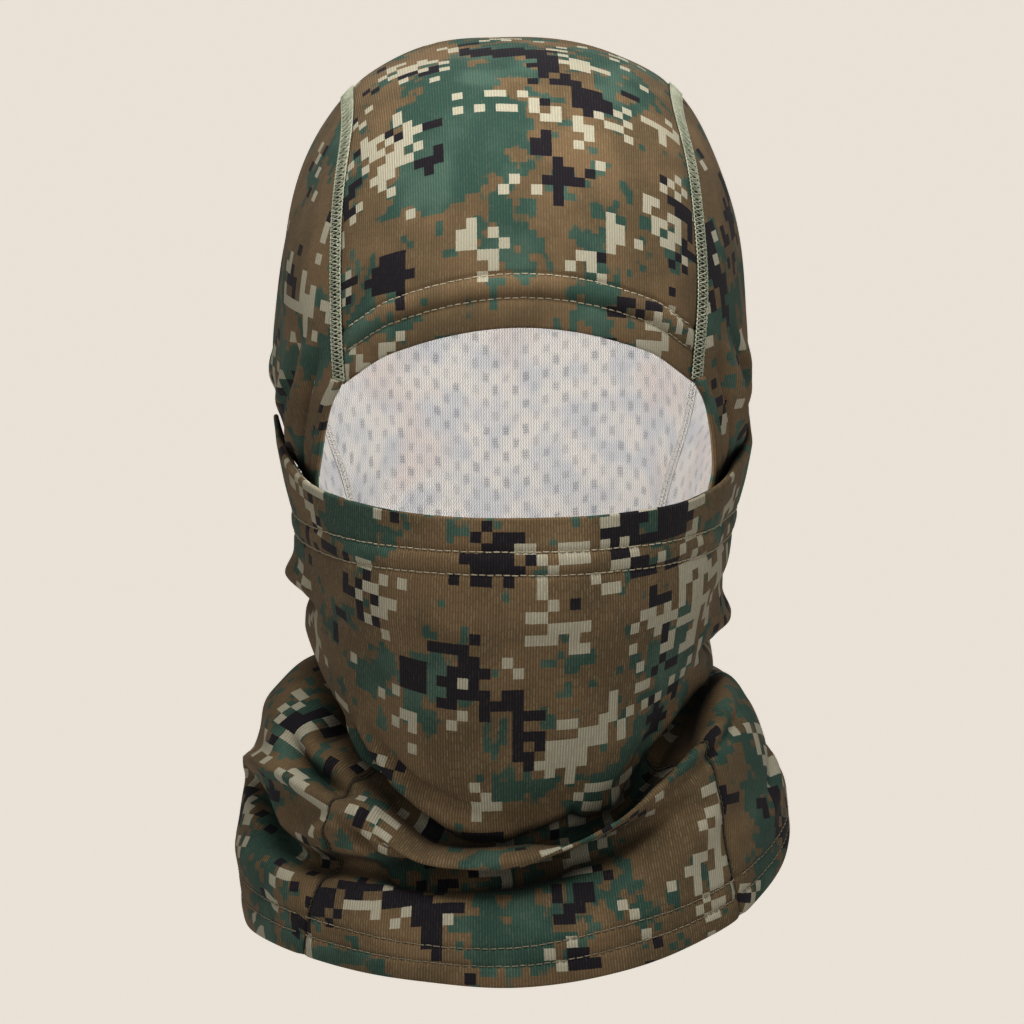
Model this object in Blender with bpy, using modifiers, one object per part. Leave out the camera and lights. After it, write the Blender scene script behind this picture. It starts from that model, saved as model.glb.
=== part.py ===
"""Knitted camouflage face mask: a three-panel hood, a front panel with a fold-down face cover, and a cape.

Metres, +Z up. The origin is the centre of the wearer's head at ear level. The front of the mask looks
along -Y and the wearer's left ear is at +X. The face cover turns about the X axis through the ears.
"""

import math

import bpy
import numpy as np

# Driving dimensions -------------------------------------------------------------------------------

FABRIC = 0.0010          # thickness of the knitted fabric
LAYER_GAP = 0.0009       # air between two layers of cloth
THREAD_RADIUS = 0.0004   # sewing thread of the topstitching
THREAD_LIFT = 0.0012     # thread centre above the cloth
SEAM_GAP = 0.0007        # half the slot between two panels under a flatlock seam
FLATLOCK_WIDTH = 0.0055
FLATLOCK_THICKNESS = 0.0008

HEAD_HALF_WIDTH = 0.087
HEAD_FRONT = 0.101
HEAD_BACK = 0.103
DOME_BASE = 0.020        # height where the dome of the crown starts
CROWN_TOP = 0.146
DOME_POWER_SIDE = 2.7
DOME_POWER_DEPTH = 2.5

EAR_LEVEL = 0.004
JAW_LEVEL = -0.060
NECK_LEVEL = -0.085
HEM_LEVEL = -0.190
CHIN_DROP = 0.048        # how much lower the neckline runs under the chin than at the sides

BROW_CENTRE = 0.055      # height of the brow edge in the middle
BROW_ARCH = 0.021        # how much lower it is where it meets the flatlock seams
COVER_BAND_BOTTOM = -0.040
COVER_TOP_CENTRE = -0.015
COVER_SIDE_ANGLE = math.radians(97.0)
HEM_FACING = 0.019       # depth of the brow's turned-in hem
DOME_ROWS = 26           # rows of points from the brow edge over the top to the back of the dome

# Rings of the hood by level: (level, half width, reach to the front, reach to the back)
HOOD_RINGS = (
    (0.020, 0.087, 0.101, 0.103),
    (0.000, 0.084, 0.100, 0.101),
    (-0.020, 0.077, 0.098, 0.096),
    (-0.040, 0.073, 0.094, 0.090),
    (-0.060, 0.069, 0.090, 0.084),
    (-0.085, 0.067, 0.078, 0.080),
    (-0.096, 0.081, 0.088, 0.083),
    (-0.110, 0.091, 0.100, 0.087),
    (-0.125, 0.097, 0.103, 0.091),
    (-0.143, 0.100, 0.098, 0.095),
    (-0.165, 0.102, 0.106, 0.099),
    (-0.190, 0.100, 0.110, 0.103),
)

# Rings of the face cover, which lies outside the hood, by level
COVER_RINGS = (
    (0.010, 0.0905, 0.104, 0.107),
    (-0.015, 0.0858, 0.107, 0.105),
    (-0.030, 0.0820, 0.110, 0.100),
    (-0.045, 0.0805, 0.110, 0.096),
    (-0.060, 0.0775, 0.108, 0.092),
    (-0.072, 0.0745, 0.101, 0.088),
    (-0.080, 0.0720, 0.092, 0.086),
    (-0.085, 0.0695, 0.082, 0.084),
)

# Half the distance between the flatlock seams by path angle: front 0, top 90, back 180 degrees
SEAM_SPACING = (
    (0.0, 0.064),
    (35.0, 0.067),
    (90.0, 0.060),
    (140.0, 0.065),
    (180.0, 0.073),
    (205.0, 0.068),
    (222.0, 0.060),
    (250.0, 0.056),
)

# Half width of the face opening by level, down behind the face cover to the neck
OPENING_HALF_WIDTH = (
    (0.040, 0.0645),
    (0.030, 0.0672),
    (0.016, 0.0712),
    (0.003, 0.0730),
    (-0.012, 0.0735),
    (-0.030, 0.0695),
    (-0.060, 0.0610),
    (-0.085, 0.0520),
)

CAPE_SEAM_TOP_ANGLE = math.radians(42.0)
CAPE_SEAM_HEM_ANGLE = math.radians(50.0)
CAPE_SEAM_REACH = 0.090          # mean distance of the cape's seams from the middle axis
CAPE_MEAN_DROP = 0.075           # mean height of the cape between neckline and hem
CROWN_AXIS = (0.0, DOME_BASE)    # (y, z) of the line that the crown's rows fan out from

BROW_ELASTIC_THICKNESS = 0.0010
BROW_ROWS = (0.0100, 0.0185)     # heights of the two stitched rows above the brow edge
COVER_ROWS = (-0.0265, -0.0350)  # levels of the two stitched rows on the face cover
HEM_ROWS = (0.0080, 0.0155)      # heights of the two stitched rows above the cape's hem
ROW_CLEARANCE = 0.002            # gap between the end of a seam and the hem's upper row
FLATLOCK_LIFT = 0.0006           # gap between the hood and the flatlock's ribbons
COVER_SEAM_LIFT = 0.0028         # how far the cover's side seams stand off the hood
OPENING_FACING_STEPS = (0.004, 0.055, 0.110)   # ring angles, in radians, past the opening's edge
COVER_SEAM_STEPS = (0.02, 0.07)  # ring angles, in radians, past the cover's side edge
HEM_FACING_DEPTH = 0.0170        # depth of the cape's turned-in hem
SEAM_MARGIN = 0.0008             # gap between the cape and the face cover at the neckline
PIVOT = (0.0, 0.0, 0.0)          # the hinge of the face cover, between the ears

# Scene helpers ------------------------------------------------------------------------------------


def clear_scene():
    for item in list(bpy.data.objects):
        bpy.data.objects.remove(item, do_unlink=True)


def new_collection(name):
    group = bpy.data.collections.new(name)
    bpy.context.scene.collection.children.link(group)
    return group


def make_material(name, colour, roughness, metallic=0.0):
    material = bpy.data.materials.new(name)
    material.use_nodes = True
    shader = material.node_tree.nodes["Principled BSDF"]
    shader.inputs["Base Color"].default_value = (*colour, 1.0)
    shader.inputs["Roughness"].default_value = roughness
    shader.inputs["Metallic"].default_value = metallic
    material.diffuse_color = (*colour, 1.0)
    return material


def camo_knit(name, tint):
    return make_material(name, tuple(tint * c for c in (0.165, 0.125, 0.080)), 0.85)


def thread_material(name):
    return make_material(name, (0.42, 0.36, 0.24), 0.7)


def flatlock_material(name):
    return make_material(name, (0.25, 0.27, 0.17), 0.75)


def elastic_material(name):
    return make_material(name, (0.60, 0.58, 0.55), 0.8)


# Curves of the form -------------------------------------------------------------------------------


def smooth_table(table, at):
    """Values of a table at one position, on a smooth curve through its rows."""
    rows = np.array(sorted(table), dtype=float)
    keys = rows[:, 0]
    values = rows[:, 1:]
    at = min(max(at, keys[0]), keys[-1])
    slopes = np.gradient(values, keys, axis=0)
    i = min(max(int(np.searchsorted(keys, at)) - 1, 0), len(keys) - 2)
    step = keys[i + 1] - keys[i]
    t = (at - keys[i]) / step
    start = (1 + 2 * t) * (1 - t) ** 2 * values[i] + t * (1 - t) ** 2 * step * slopes[i]
    end = t * t * (3 - 2 * t) * values[i + 1] + t * t * (t - 1) * step * slopes[i + 1]
    return start + end


def neckline(angle):
    """Height of the narrow neckline: level round the back, dipping under the chin in front."""
    front = max(math.cos(angle), 0.0)
    return NECK_LEVEL - CHIN_DROP * front * front


def hemline(angle):
    """Height of the cape's hem: lowest in front, and lower on one side than on the other."""
    tilt = -0.0195 * math.cos(angle) + 0.0185 * math.sin(angle)
    return -0.1655 + tilt - 0.004 * math.cos(2 * angle)


def height_of(level, angle):
    """Height of a level at an angle: levels bunch up and spread out with neckline and hem."""
    if level >= JAW_LEVEL:
        return level
    if level >= NECK_LEVEL:
        part = (level - JAW_LEVEL) / (NECK_LEVEL - JAW_LEVEL)
        return JAW_LEVEL + part * (neckline(angle) - JAW_LEVEL)
    part = (level - NECK_LEVEL) / (HEM_LEVEL - NECK_LEVEL)
    return neckline(angle) + part * (hemline(angle) - neckline(angle))


def hood_reach(level):
    """Half width, front reach and back reach of the hood's outside at a level."""
    if level <= DOME_BASE:
        return smooth_table(HOOD_RINGS, level)
    rise = min((level - DOME_BASE) / (CROWN_TOP - DOME_BASE), 1.0)
    side = (1 - rise ** DOME_POWER_SIDE) ** (1 / DOME_POWER_SIDE)
    depth = (1 - rise ** DOME_POWER_DEPTH) ** (1 / DOME_POWER_DEPTH)
    return np.array([HEAD_HALF_WIDTH * side, HEAD_FRONT * depth, HEAD_BACK * depth])


def cover_reach(level):
    return smooth_table(COVER_RINGS, level)


def squareness(level):
    """Power of the ring's outline: rounder towards the hem than round the head."""
    blend = min(max((level - HEM_LEVEL) / (JAW_LEVEL - HEM_LEVEL), 0.0), 1.0)
    return 2.08 + 0.22 * blend


def ring_point(angle, level, reach):
    half_width, front, back = reach(level)
    depth = front if math.cos(angle) >= 0 else back
    power = squareness(level)
    across = (abs(math.sin(angle)) / half_width) ** power
    along = (abs(math.cos(angle)) / depth) ** power
    radius = (across + along) ** (-1 / power)
    return np.array([radius * math.sin(angle), -radius * math.cos(angle), height_of(level, angle)])


def around(angle, level, lift=0.0, reach=hood_reach):
    """A point on a ring, lifted off along the surface's normal.

    Angle 0 is the front and +90 degrees is the wearer's left side (+X).
    """
    point = ring_point(angle, level, reach)
    if not lift:
        return point
    turn = ring_point(angle + 0.01, level, reach) - ring_point(angle - 0.01, level, reach)
    climb = ring_point(angle, level + 0.0015, reach) - ring_point(angle, level - 0.0015, reach)
    normal = np.cross(turn, climb)
    return point + normal * (lift / np.linalg.norm(normal))


def ring_angle(x, level, behind=False):
    """Angle of the hood ring's point that is a distance x from the middle plane."""
    half_width, front, back = hood_reach(level)
    power = squareness(level)
    depth = back if behind else -front
    y = depth * max(1 - (abs(x) / half_width) ** power, 0.0) ** (1 / power)
    return math.atan2(x, -y)


def path_angle(y, z):
    """Angle of a point about the crown's axis in degrees: 0 in front, 90 at the top, 180 behind."""
    angle = math.degrees(math.atan2(z - CROWN_AXIS[1], CROWN_AXIS[0] - y))
    return angle if angle > -60 else angle + 360


def crown_size(point):
    """How far out a point is, as a share of the crown's surface: 1 on it, more outside."""
    x, y, z = point
    if z >= CROWN_TOP:
        return 1.0 + z
    half_width, front, back = hood_reach(z)
    power = squareness(z)
    depth = front if y < 0 else back
    return (abs(x) / half_width) ** power + (abs(y) / depth) ** power


def crown_point(x, angle, lift=0.0):
    """The crown's point at a distance x from the middle plane and a path angle, lifted off it."""
    direction = np.array([0.0, -math.cos(math.radians(angle)), math.sin(math.radians(angle))])
    start = np.array([x, *CROWN_AXIS])
    inside = 0.0
    outside = 0.2
    for _ in range(34):
        middle = (inside + outside) / 2
        if crown_size(start + middle * direction) > 1:
            outside = middle
        else:
            inside = middle
    point = start + inside * direction
    if not lift:
        return point
    nudges = np.eye(3) * 0.0004
    normal = np.array([crown_size(point + n) - crown_size(point - n) for n in nudges])
    return point + normal * (lift / np.linalg.norm(normal))


def seam_spacing(angle):
    return float(smooth_table(SEAM_SPACING, angle)[0])


def seam_angle(level, behind, margin):
    """Ring angle of a flatlock seam at a level of the hood, moved sideways by a margin."""
    x = seam_spacing(90.0)
    for _ in range(12):
        angle = ring_angle(x + margin, level, behind)
        point = around(angle, level)
        x = seam_spacing(path_angle(point[1], point[2]))
    return ring_angle(x + margin, level, behind)


def brow_height(x):
    return BROW_CENTRE - BROW_ARCH * (x / seam_spacing(10.0)) ** 2


def brow_angle(x, rise=0.0):
    """Path angle of the brow edge, or of a line that runs a distance above it."""
    z = brow_height(x) + rise
    half_width, front, _ = hood_reach(z)
    power = squareness(z)
    y = front * (1 - (abs(x) / half_width) ** power) ** (1 / power)
    return math.degrees(math.atan2(z - CROWN_AXIS[1], y))


def cover_top(angle):
    """Level of the face cover's top edge: lowest over the nose, rising to the ears."""
    part = min(abs(angle) / COVER_SIDE_ANGLE, 1.0)
    return COVER_TOP_CENTRE + (EAR_LEVEL - COVER_TOP_CENTRE) * part**2.4


def opening_angle(level):
    """Ring angle of the face opening's side edge."""
    return ring_angle(float(smooth_table(OPENING_HALF_WIDTH, level)[0]), level)


def cape_seam_angle(level):
    part = min(max((level - NECK_LEVEL) / (HEM_LEVEL - NECK_LEVEL), 0.0), 1.0)
    return CAPE_SEAM_TOP_ANGLE + part * (CAPE_SEAM_HEM_ANGLE - CAPE_SEAM_TOP_ANGLE)


def hem_level(rise):
    """Level of a line that runs a given length above the hem of the cape."""
    return HEM_LEVEL + rise * (NECK_LEVEL - HEM_LEVEL) / CAPE_MEAN_DROP


# Builders -----------------------------------------------------------------------------------------


def grid_object(name, rows, thickness, material):
    """A closed sheet: a grid of points on its outer side, thickened inwards."""
    rows = np.array(rows)
    down, along = rows.shape[:2]
    points = rows.reshape(-1, 3)
    faces = []
    for i in range(down - 1):
        for j in range(along - 1):
            a = i * along + j
            faces.append((a, a + 1, a + along + 1, a + along))
    mesh = bpy.data.meshes.new(name)
    mesh.from_pydata([tuple(p) for p in points], [], faces)
    mesh.update()
    middle = mesh.polygons[len(mesh.polygons) // 2]
    if middle.normal.dot(middle.center) < 0:
        mesh.flip_normals()
    mesh.shade_smooth()
    item = bpy.data.objects.new(name, mesh)
    PARTS.objects.link(item)
    item.data.materials.append(material)
    shell = item.modifiers.new("thickness", "SOLIDIFY")
    shell.thickness = thickness
    shell.offset = -1.0
    shell.use_even_offset = False
    return item


def thread_object(name, points, material):
    """A sewn row as one continuous thread with filled ends."""
    curve = bpy.data.curves.new(name, "CURVE")
    curve.dimensions = "3D"
    curve.bevel_depth = THREAD_RADIUS
    curve.bevel_resolution = 0
    curve.use_fill_caps = True
    spline = curve.splines.new("POLY")
    spline.points.add(len(points) - 1)
    for spot, point in zip(spline.points, points, strict=True):
        spot.co = (*point, 1.0)
    item = bpy.data.objects.new(name, curve)
    PARTS.objects.link(item)
    curve.materials.append(material)
    return item


def set_origin(item, origin):
    """Move an object's origin to a point, leaving its mesh where it is in the world."""
    shift = np.array(origin)
    if item.type == "MESH":
        for vertex in item.data.vertices:
            vertex.co = np.array(vertex.co) - shift
    else:
        for spot in item.data.splines[0].points:
            spot.co = (*(np.array(spot.co[:3]) - shift), 1.0)
    item.location = tuple(shift)


def spread(start, end, count):
    return np.linspace(start, end, count)


# Hood ---------------------------------------------------------------------------------------------


def cape_levels(last=HEM_LEVEL):
    """Levels of the cape's rows below the neckline, down to the last."""
    return [level for level in spread(NECK_LEVEL, HEM_LEVEL, 14)[1:] if level > last] + [last]


def hood_levels(last=HEM_LEVEL):
    """Levels of every panel's rows below the dome."""
    return list(spread(DOME_BASE, NECK_LEVEL, 10))[1:] + cape_levels(last)


def seam_end_level():
    """Level where the long seams stop, just above the hem's stitched rows."""
    return hem_level(HEM_ROWS[1] + ROW_CLEARANCE)


def build_crown_panel():
    """The strip from the brow edge over the top and down the back to the cape's hem."""
    fractions = spread(-1.0, 1.0, 13)
    rows = []
    for part in spread(0.0, 1.0, DOME_ROWS):
        row = []
        for fraction in fractions:
            start = brow_angle(fraction * (seam_spacing(10.0) - SEAM_GAP))
            angle = start + part * (180.0 - start)
            row.append(crown_point(fraction * (seam_spacing(angle) - SEAM_GAP), angle))
        rows.append(row)
    for level in hood_levels():
        half_angle = math.pi - seam_angle(level, True, -SEAM_GAP)
        rows.append([around(math.pi - fraction * half_angle, level) for fraction in fractions])
    return grid_object("crown_panel", rows, FABRIC, camo_knit("crown_knit", 1.0))


def side_levels():
    """Levels of the side panel's rows, from the top of the flatlock seam down to the hem."""
    low = DOME_BASE
    high = CROWN_TOP
    for _ in range(40):
        middle = (low + high) / 2
        if hood_reach(middle)[0] > seam_spacing(90.0) + SEAM_GAP:
            low = middle
        else:
            high = middle
    top = math.asin((low - THREAD_LIFT - DOME_BASE) / (CROWN_TOP - DOME_BASE))
    dome = [DOME_BASE + (CROWN_TOP - DOME_BASE) * math.sin(a) for a in spread(top, 0.0, 11)]
    return dome + hood_levels()


def side_front_angle(level, margin=SEAM_GAP):
    """Ring angle of the side panel's front edge: flatlock seam, face opening, then cape seam."""
    brow_end = brow_height(seam_spacing(10.0))
    if level > brow_end:
        return seam_angle(level, False, margin)
    if level > NECK_LEVEL:
        return opening_angle(level)
    return cape_seam_angle(level) + margin / CAPE_SEAM_REACH


def build_side_panel(name, side, tint):
    rows = []
    for level in side_levels():
        start = side_front_angle(level)
        end = seam_angle(level, True, SEAM_GAP)
        rows.append([around(side * angle, level) for angle in spread(start, end, 13)])
    return grid_object(name, rows, FABRIC, camo_knit(name + "_knit", tint))


def build_brow_hem_facing():
    """The turned-in layer behind the brow edge."""
    inner = -(FABRIC + LAYER_GAP + BROW_ELASTIC_THICKNESS + LAYER_GAP)
    rows = []
    for rise in spread(0.0006, HEM_FACING, 4):
        row = []
        for fraction in spread(-0.97, 0.97, 19):
            x = fraction * seam_spacing(10.0)
            row.append(crown_point(x, brow_angle(x, rise), inner))
        rows.append(row)
    return grid_object("brow_hem_facing", rows, FABRIC, camo_knit("brow_facing_knit", 0.9))


def build_brow_elastic():
    """The flat elastic held in the channel between the two brow rows."""
    outer = -(FABRIC + LAYER_GAP)
    rows = []
    for rise in spread(BROW_ROWS[0] + 0.0012, BROW_ROWS[1] - 0.0012, 3):
        row = []
        for fraction in spread(-0.95, 0.95, 19):
            x = fraction * seam_spacing(10.0)
            row.append(crown_point(x, brow_angle(x, rise), outer))
        rows.append(row)
    return grid_object("brow_elastic", rows, BROW_ELASTIC_THICKNESS, elastic_material("brow_elastic"))


def build_brow_stitch_row(name, rise):
    points = []
    for fraction in spread(-0.935, 0.935, 31):
        x = fraction * seam_spacing(10.0)
        points.append(crown_point(x, brow_angle(x, rise), THREAD_LIFT))
    return thread_object(name, points, thread_material(name))


def flatlock_rows(side, offsets, lift):
    """Rows of a ribbon that follows a flatlock seam from the brow to the cape's stitched hem."""
    rows = []
    start = brow_angle(seam_spacing(10.0), 0.0)
    for angle in spread(start, 180.0, DOME_ROWS):
        spacing = seam_spacing(angle)
        rows.append([crown_point(side * (spacing + offset), angle, lift) for offset in offsets])
    for level in hood_levels(seam_end_level()):
        row = []
        for offset in offsets:
            row.append(around(side * seam_angle(level, True, offset), level, lift))
        rows.append(row)
    return rows


def build_flatlock_seam(name, side):
    """The outer cover threads of the flatlock seam, as one raised ribbon."""
    offsets = spread(-FLATLOCK_WIDTH / 2, FLATLOCK_WIDTH / 2, 3)
    rows = flatlock_rows(side, offsets, FLATLOCK_LIFT + FLATLOCK_THICKNESS)
    return grid_object(name, rows, FLATLOCK_THICKNESS, flatlock_material(name))


def build_flatlock_looper(name, side):
    """The looper threads of the flatlock seam on the inside of the hood."""
    offsets = spread(-FLATLOCK_WIDTH / 2, FLATLOCK_WIDTH / 2, 2)
    rows = flatlock_rows(side, offsets, -(FABRIC + LAYER_GAP + FLATLOCK_LIFT / 2))
    keep = [row for row in rows if row[0][2] > NECK_LEVEL and path_angle(row[0][1], row[0][2]) > 40]
    return grid_object(name, keep, FLATLOCK_THICKNESS / 2, flatlock_material(name))


def build_opening_facing(name, side):
    """The turned-in edge of a side panel along the face opening."""
    rows = []
    for level in spread(0.030, NECK_LEVEL + 0.006, 18):
        start = opening_angle(level)
        lift = -(FABRIC + LAYER_GAP)
        rows.append([around(side * (start + step), level, lift) for step in OPENING_FACING_STEPS])
    return grid_object(name, rows, FABRIC * 0.8, camo_knit(name + "_knit", 0.85))


# Face cover ---------------------------------------------------------------------------------------


def cover_rows(levels, angles, lift=0.0):
    return [[around(angle, level, lift, cover_reach) for angle in angles] for level in levels]


def cover_angles(count, limit=COVER_SIDE_ANGLE):
    return spread(-limit, limit, count)


def build_cover_band():
    """The hemmed top band of the face cover, which is drawn down off the nose."""
    rows = []
    for part in spread(0.0, 1.0, 4):
        row = []
        for angle in cover_angles(39):
            top = cover_top(angle)
            row.append(around(angle, top + part * (COVER_BAND_BOTTOM - top), 0.0, cover_reach))
        rows.append(row)
    band = grid_object("face_cover_band", rows, FABRIC, camo_knit("face_cover_band_knit", 1.05))
    set_origin(band, PIVOT)
    return band


def build_cover_hem_facing():
    rows = []
    for part in spread(0.03, 0.93, 3):
        row = []
        for angle in cover_angles(39, COVER_SIDE_ANGLE * 0.97):
            top = cover_top(angle)
            level = top + part * (COVER_BAND_BOTTOM - top)
            row.append(around(angle, level, -(FABRIC + LAYER_GAP), cover_reach))
        rows.append(row)
    facing = grid_object("face_cover_hem_facing", rows, FABRIC * 0.7, camo_knit("cover_facing_knit", 0.9))
    set_origin(facing, PIVOT)
    return facing


def build_cover_stitch_row(name, level):
    points = [around(a, level, THREAD_LIFT, cover_reach) for a in cover_angles(47, COVER_SIDE_ANGLE * 0.95)]
    row = thread_object(name, points, thread_material(name))
    set_origin(row, PIVOT)
    return row


def build_cover_panel():
    """The part of the face cover that gathers between the band and the neckline."""
    levels = spread(COVER_BAND_BOTTOM - SEAM_MARGIN, NECK_LEVEL + SEAM_MARGIN, 12)
    rows = cover_rows(levels, cover_angles(33))
    return grid_object("face_cover_panel", rows, FABRIC, camo_knit("face_cover_knit", 1.0))


def build_cover_side_seam(name, side):
    """The overlocked seam that joins the face cover's side edge to the hood."""
    rows = []
    for level in spread(COVER_BAND_BOTTOM - 0.002, NECK_LEVEL + 0.008, 9):
        angles = [side * (COVER_SIDE_ANGLE + step) for step in COVER_SEAM_STEPS]
        rows.append([around(angle, level, COVER_SEAM_LIFT) for angle in angles])
    return grid_object(name, rows, FABRIC, thread_material(name))


# Cape ---------------------------------------------------------------------------------------------


def build_front_cape():
    rows = []
    for level in [NECK_LEVEL - SEAM_MARGIN] + cape_levels():
        edge = cape_seam_angle(level) - SEAM_GAP / CAPE_SEAM_REACH
        rows.append([around(angle, level) for angle in spread(-edge, edge, 19)])
    return grid_object("front_cape_panel", rows, FABRIC, camo_knit("front_cape_knit", 1.0))


def build_hem_facing(name, start, end, count):
    """The turned-in hem of the cape between two ring angles."""
    rows = []
    for level in spread(hem_level(FABRIC / 2), hem_level(HEM_FACING_DEPTH), 3):
        rows.append([around(angle, level, -(FABRIC + LAYER_GAP)) for angle in spread(start, end, count)])
    return grid_object(name, rows, FABRIC * 0.8, camo_knit(name + "_knit", 0.9))


def build_hem_stitch_row(name, start, end, rise, count):
    level = hem_level(rise)
    points = [around(angle, level, THREAD_LIFT) for angle in spread(start, end, count)]
    return thread_object(name, points, thread_material(name))


def build_cape_seam(name, side):
    """The thread line where the front panel meets a side panel of the cape."""
    points = []
    for level in spread(NECK_LEVEL - 0.006, seam_end_level(), 14):
        points.append(around(side * cape_seam_angle(level), level, THREAD_LIFT))
    return thread_object(name, points, thread_material(name))


# Assembly -----------------------------------------------------------------------------------------

clear_scene()
PARTS = new_collection("camo_face_mask")

build_crown_panel()
build_brow_hem_facing()
build_brow_elastic()
build_brow_stitch_row("brow_lower_stitch_row", BROW_ROWS[0])
build_brow_stitch_row("brow_upper_stitch_row", BROW_ROWS[1])

for SIDE_NAME, SIDE in (("left", 1), ("right", -1)):
    build_side_panel(SIDE_NAME + "_side_panel", SIDE, 0.92)
    build_flatlock_seam(SIDE_NAME + "_flatlock_seam", SIDE)
    build_flatlock_looper(SIDE_NAME + "_flatlock_looper", SIDE)
    build_opening_facing(SIDE_NAME + "_opening_facing", SIDE)
    build_cover_side_seam(SIDE_NAME + "_cover_side_seam", SIDE)
    build_cape_seam(SIDE_NAME + "_cape_seam", SIDE)

build_cover_band()
build_cover_hem_facing()
build_cover_panel()
build_cover_stitch_row("face_cover_upper_stitch_row", COVER_ROWS[0])
build_cover_stitch_row("face_cover_lower_stitch_row", COVER_ROWS[1])

build_front_cape()
FRONT_EDGE = CAPE_SEAM_HEM_ANGLE - 0.02
BACK_EDGE = CAPE_SEAM_HEM_ANGLE + 0.02
build_hem_facing("front_hem_facing", -FRONT_EDGE, FRONT_EDGE, 17)
build_hem_facing("back_hem_facing", BACK_EDGE, 2 * math.pi - BACK_EDGE, 35)
build_hem_stitch_row("front_hem_lower_stitch_row", -FRONT_EDGE, FRONT_EDGE, HEM_ROWS[0], 25)
build_hem_stitch_row("front_hem_upper_stitch_row", -FRONT_EDGE, FRONT_EDGE, HEM_ROWS[1], 25)
build_hem_stitch_row("back_hem_lower_stitch_row", BACK_EDGE, 2 * math.pi - BACK_EDGE, HEM_ROWS[0], 51)
build_hem_stitch_row("back_hem_upper_stitch_row", BACK_EDGE, 2 * math.pi - BACK_EDGE, HEM_ROWS[1], 51)
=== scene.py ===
"""Visual model of a camouflage face mask: knitted panels with real hems, seams and topstitching."""

import math

import bpy
import numpy as np
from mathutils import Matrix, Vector


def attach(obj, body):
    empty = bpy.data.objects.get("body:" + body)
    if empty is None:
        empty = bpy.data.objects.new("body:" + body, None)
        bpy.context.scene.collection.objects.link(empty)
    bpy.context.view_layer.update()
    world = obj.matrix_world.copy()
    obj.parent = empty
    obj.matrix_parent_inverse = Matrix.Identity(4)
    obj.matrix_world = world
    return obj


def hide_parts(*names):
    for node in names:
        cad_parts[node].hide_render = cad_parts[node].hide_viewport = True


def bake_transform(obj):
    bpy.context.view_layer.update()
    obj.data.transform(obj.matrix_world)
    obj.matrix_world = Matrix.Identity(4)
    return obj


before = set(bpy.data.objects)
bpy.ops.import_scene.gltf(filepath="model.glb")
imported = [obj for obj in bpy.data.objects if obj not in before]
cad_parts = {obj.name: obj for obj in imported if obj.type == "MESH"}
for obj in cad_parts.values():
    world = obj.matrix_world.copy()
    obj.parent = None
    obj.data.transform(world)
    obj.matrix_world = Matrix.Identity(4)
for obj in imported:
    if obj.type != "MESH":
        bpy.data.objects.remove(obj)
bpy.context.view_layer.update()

# The form of the mask, as the CAD has it ----------------------------------------------------------

HEAD_HALF_WIDTH = 0.087
HEAD_FRONT = 0.101
HEAD_BACK = 0.103
DOME_BASE = 0.020
CROWN_TOP = 0.1443
DOME_POWER_SIDE = 2.7
DOME_POWER_DEPTH = 2.5
EAR_LEVEL = 0.004
JAW_LEVEL = -0.060
NECK_LEVEL = -0.085
HEM_LEVEL = -0.190
CHIN_DROP = 0.048
BROW_CENTRE = 0.055
BROW_ARCH = 0.021
COVER_TOP_CENTRE = -0.015
COVER_SIDE_ANGLE = math.radians(97.0)
CAPE_SEAM_TOP_ANGLE = math.radians(42.0)
CAPE_SEAM_HEM_ANGLE = math.radians(50.0)
BROW_ROWS = (0.0100, 0.0185)
COVER_ROWS = (-0.0265, -0.0350)
HEM_ROWS = (0.0080, 0.0155)

# Rings: height, half width, depth in front and depth behind, in metres
HOOD_RINGS = (
    (0.020, 0.087, 0.101, 0.103), (0.000, 0.084, 0.100, 0.101), (-0.020, 0.077, 0.098, 0.096),
    (-0.040, 0.073, 0.094, 0.090), (-0.060, 0.069, 0.090, 0.084), (-0.085, 0.067, 0.078, 0.080),
)
COVER_RINGS = (
    (0.010, 0.0905, 0.1075, 0.107), (-0.015, 0.0858, 0.1095, 0.105),
    (-0.030, 0.0820, 0.1100, 0.100), (-0.045, 0.0805, 0.110, 0.096),
    (-0.060, 0.0775, 0.108, 0.092), (-0.072, 0.0745, 0.101, 0.088), (-0.080, 0.0720, 0.092, 0.086),
    (-0.085, 0.0695, 0.082, 0.084),
)
CORNER_DROP = 0.0040         # how much further the brow edge drops as it rounds the opening's corners

# Path angle over the crown in degrees, and a flatlock seam's distance from the middle plane
SEAM_SPACING = (
    (0.0, 0.064), (35.0, 0.067), (90.0, 0.060), (140.0, 0.065), (180.0, 0.073), (205.0, 0.068),
    (222.0, 0.060), (250.0, 0.056),
)

# Height and half width of the face opening
OPENING_HALF_WIDTH = (
    (0.040, 0.0635), (0.030, 0.0655), (0.022, 0.0692), (0.012, 0.0718), (0.000, 0.0732),
    (-0.012, 0.0735), (-0.030, 0.0695), (-0.060, 0.0610), (-0.085, 0.0520),
)

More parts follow.
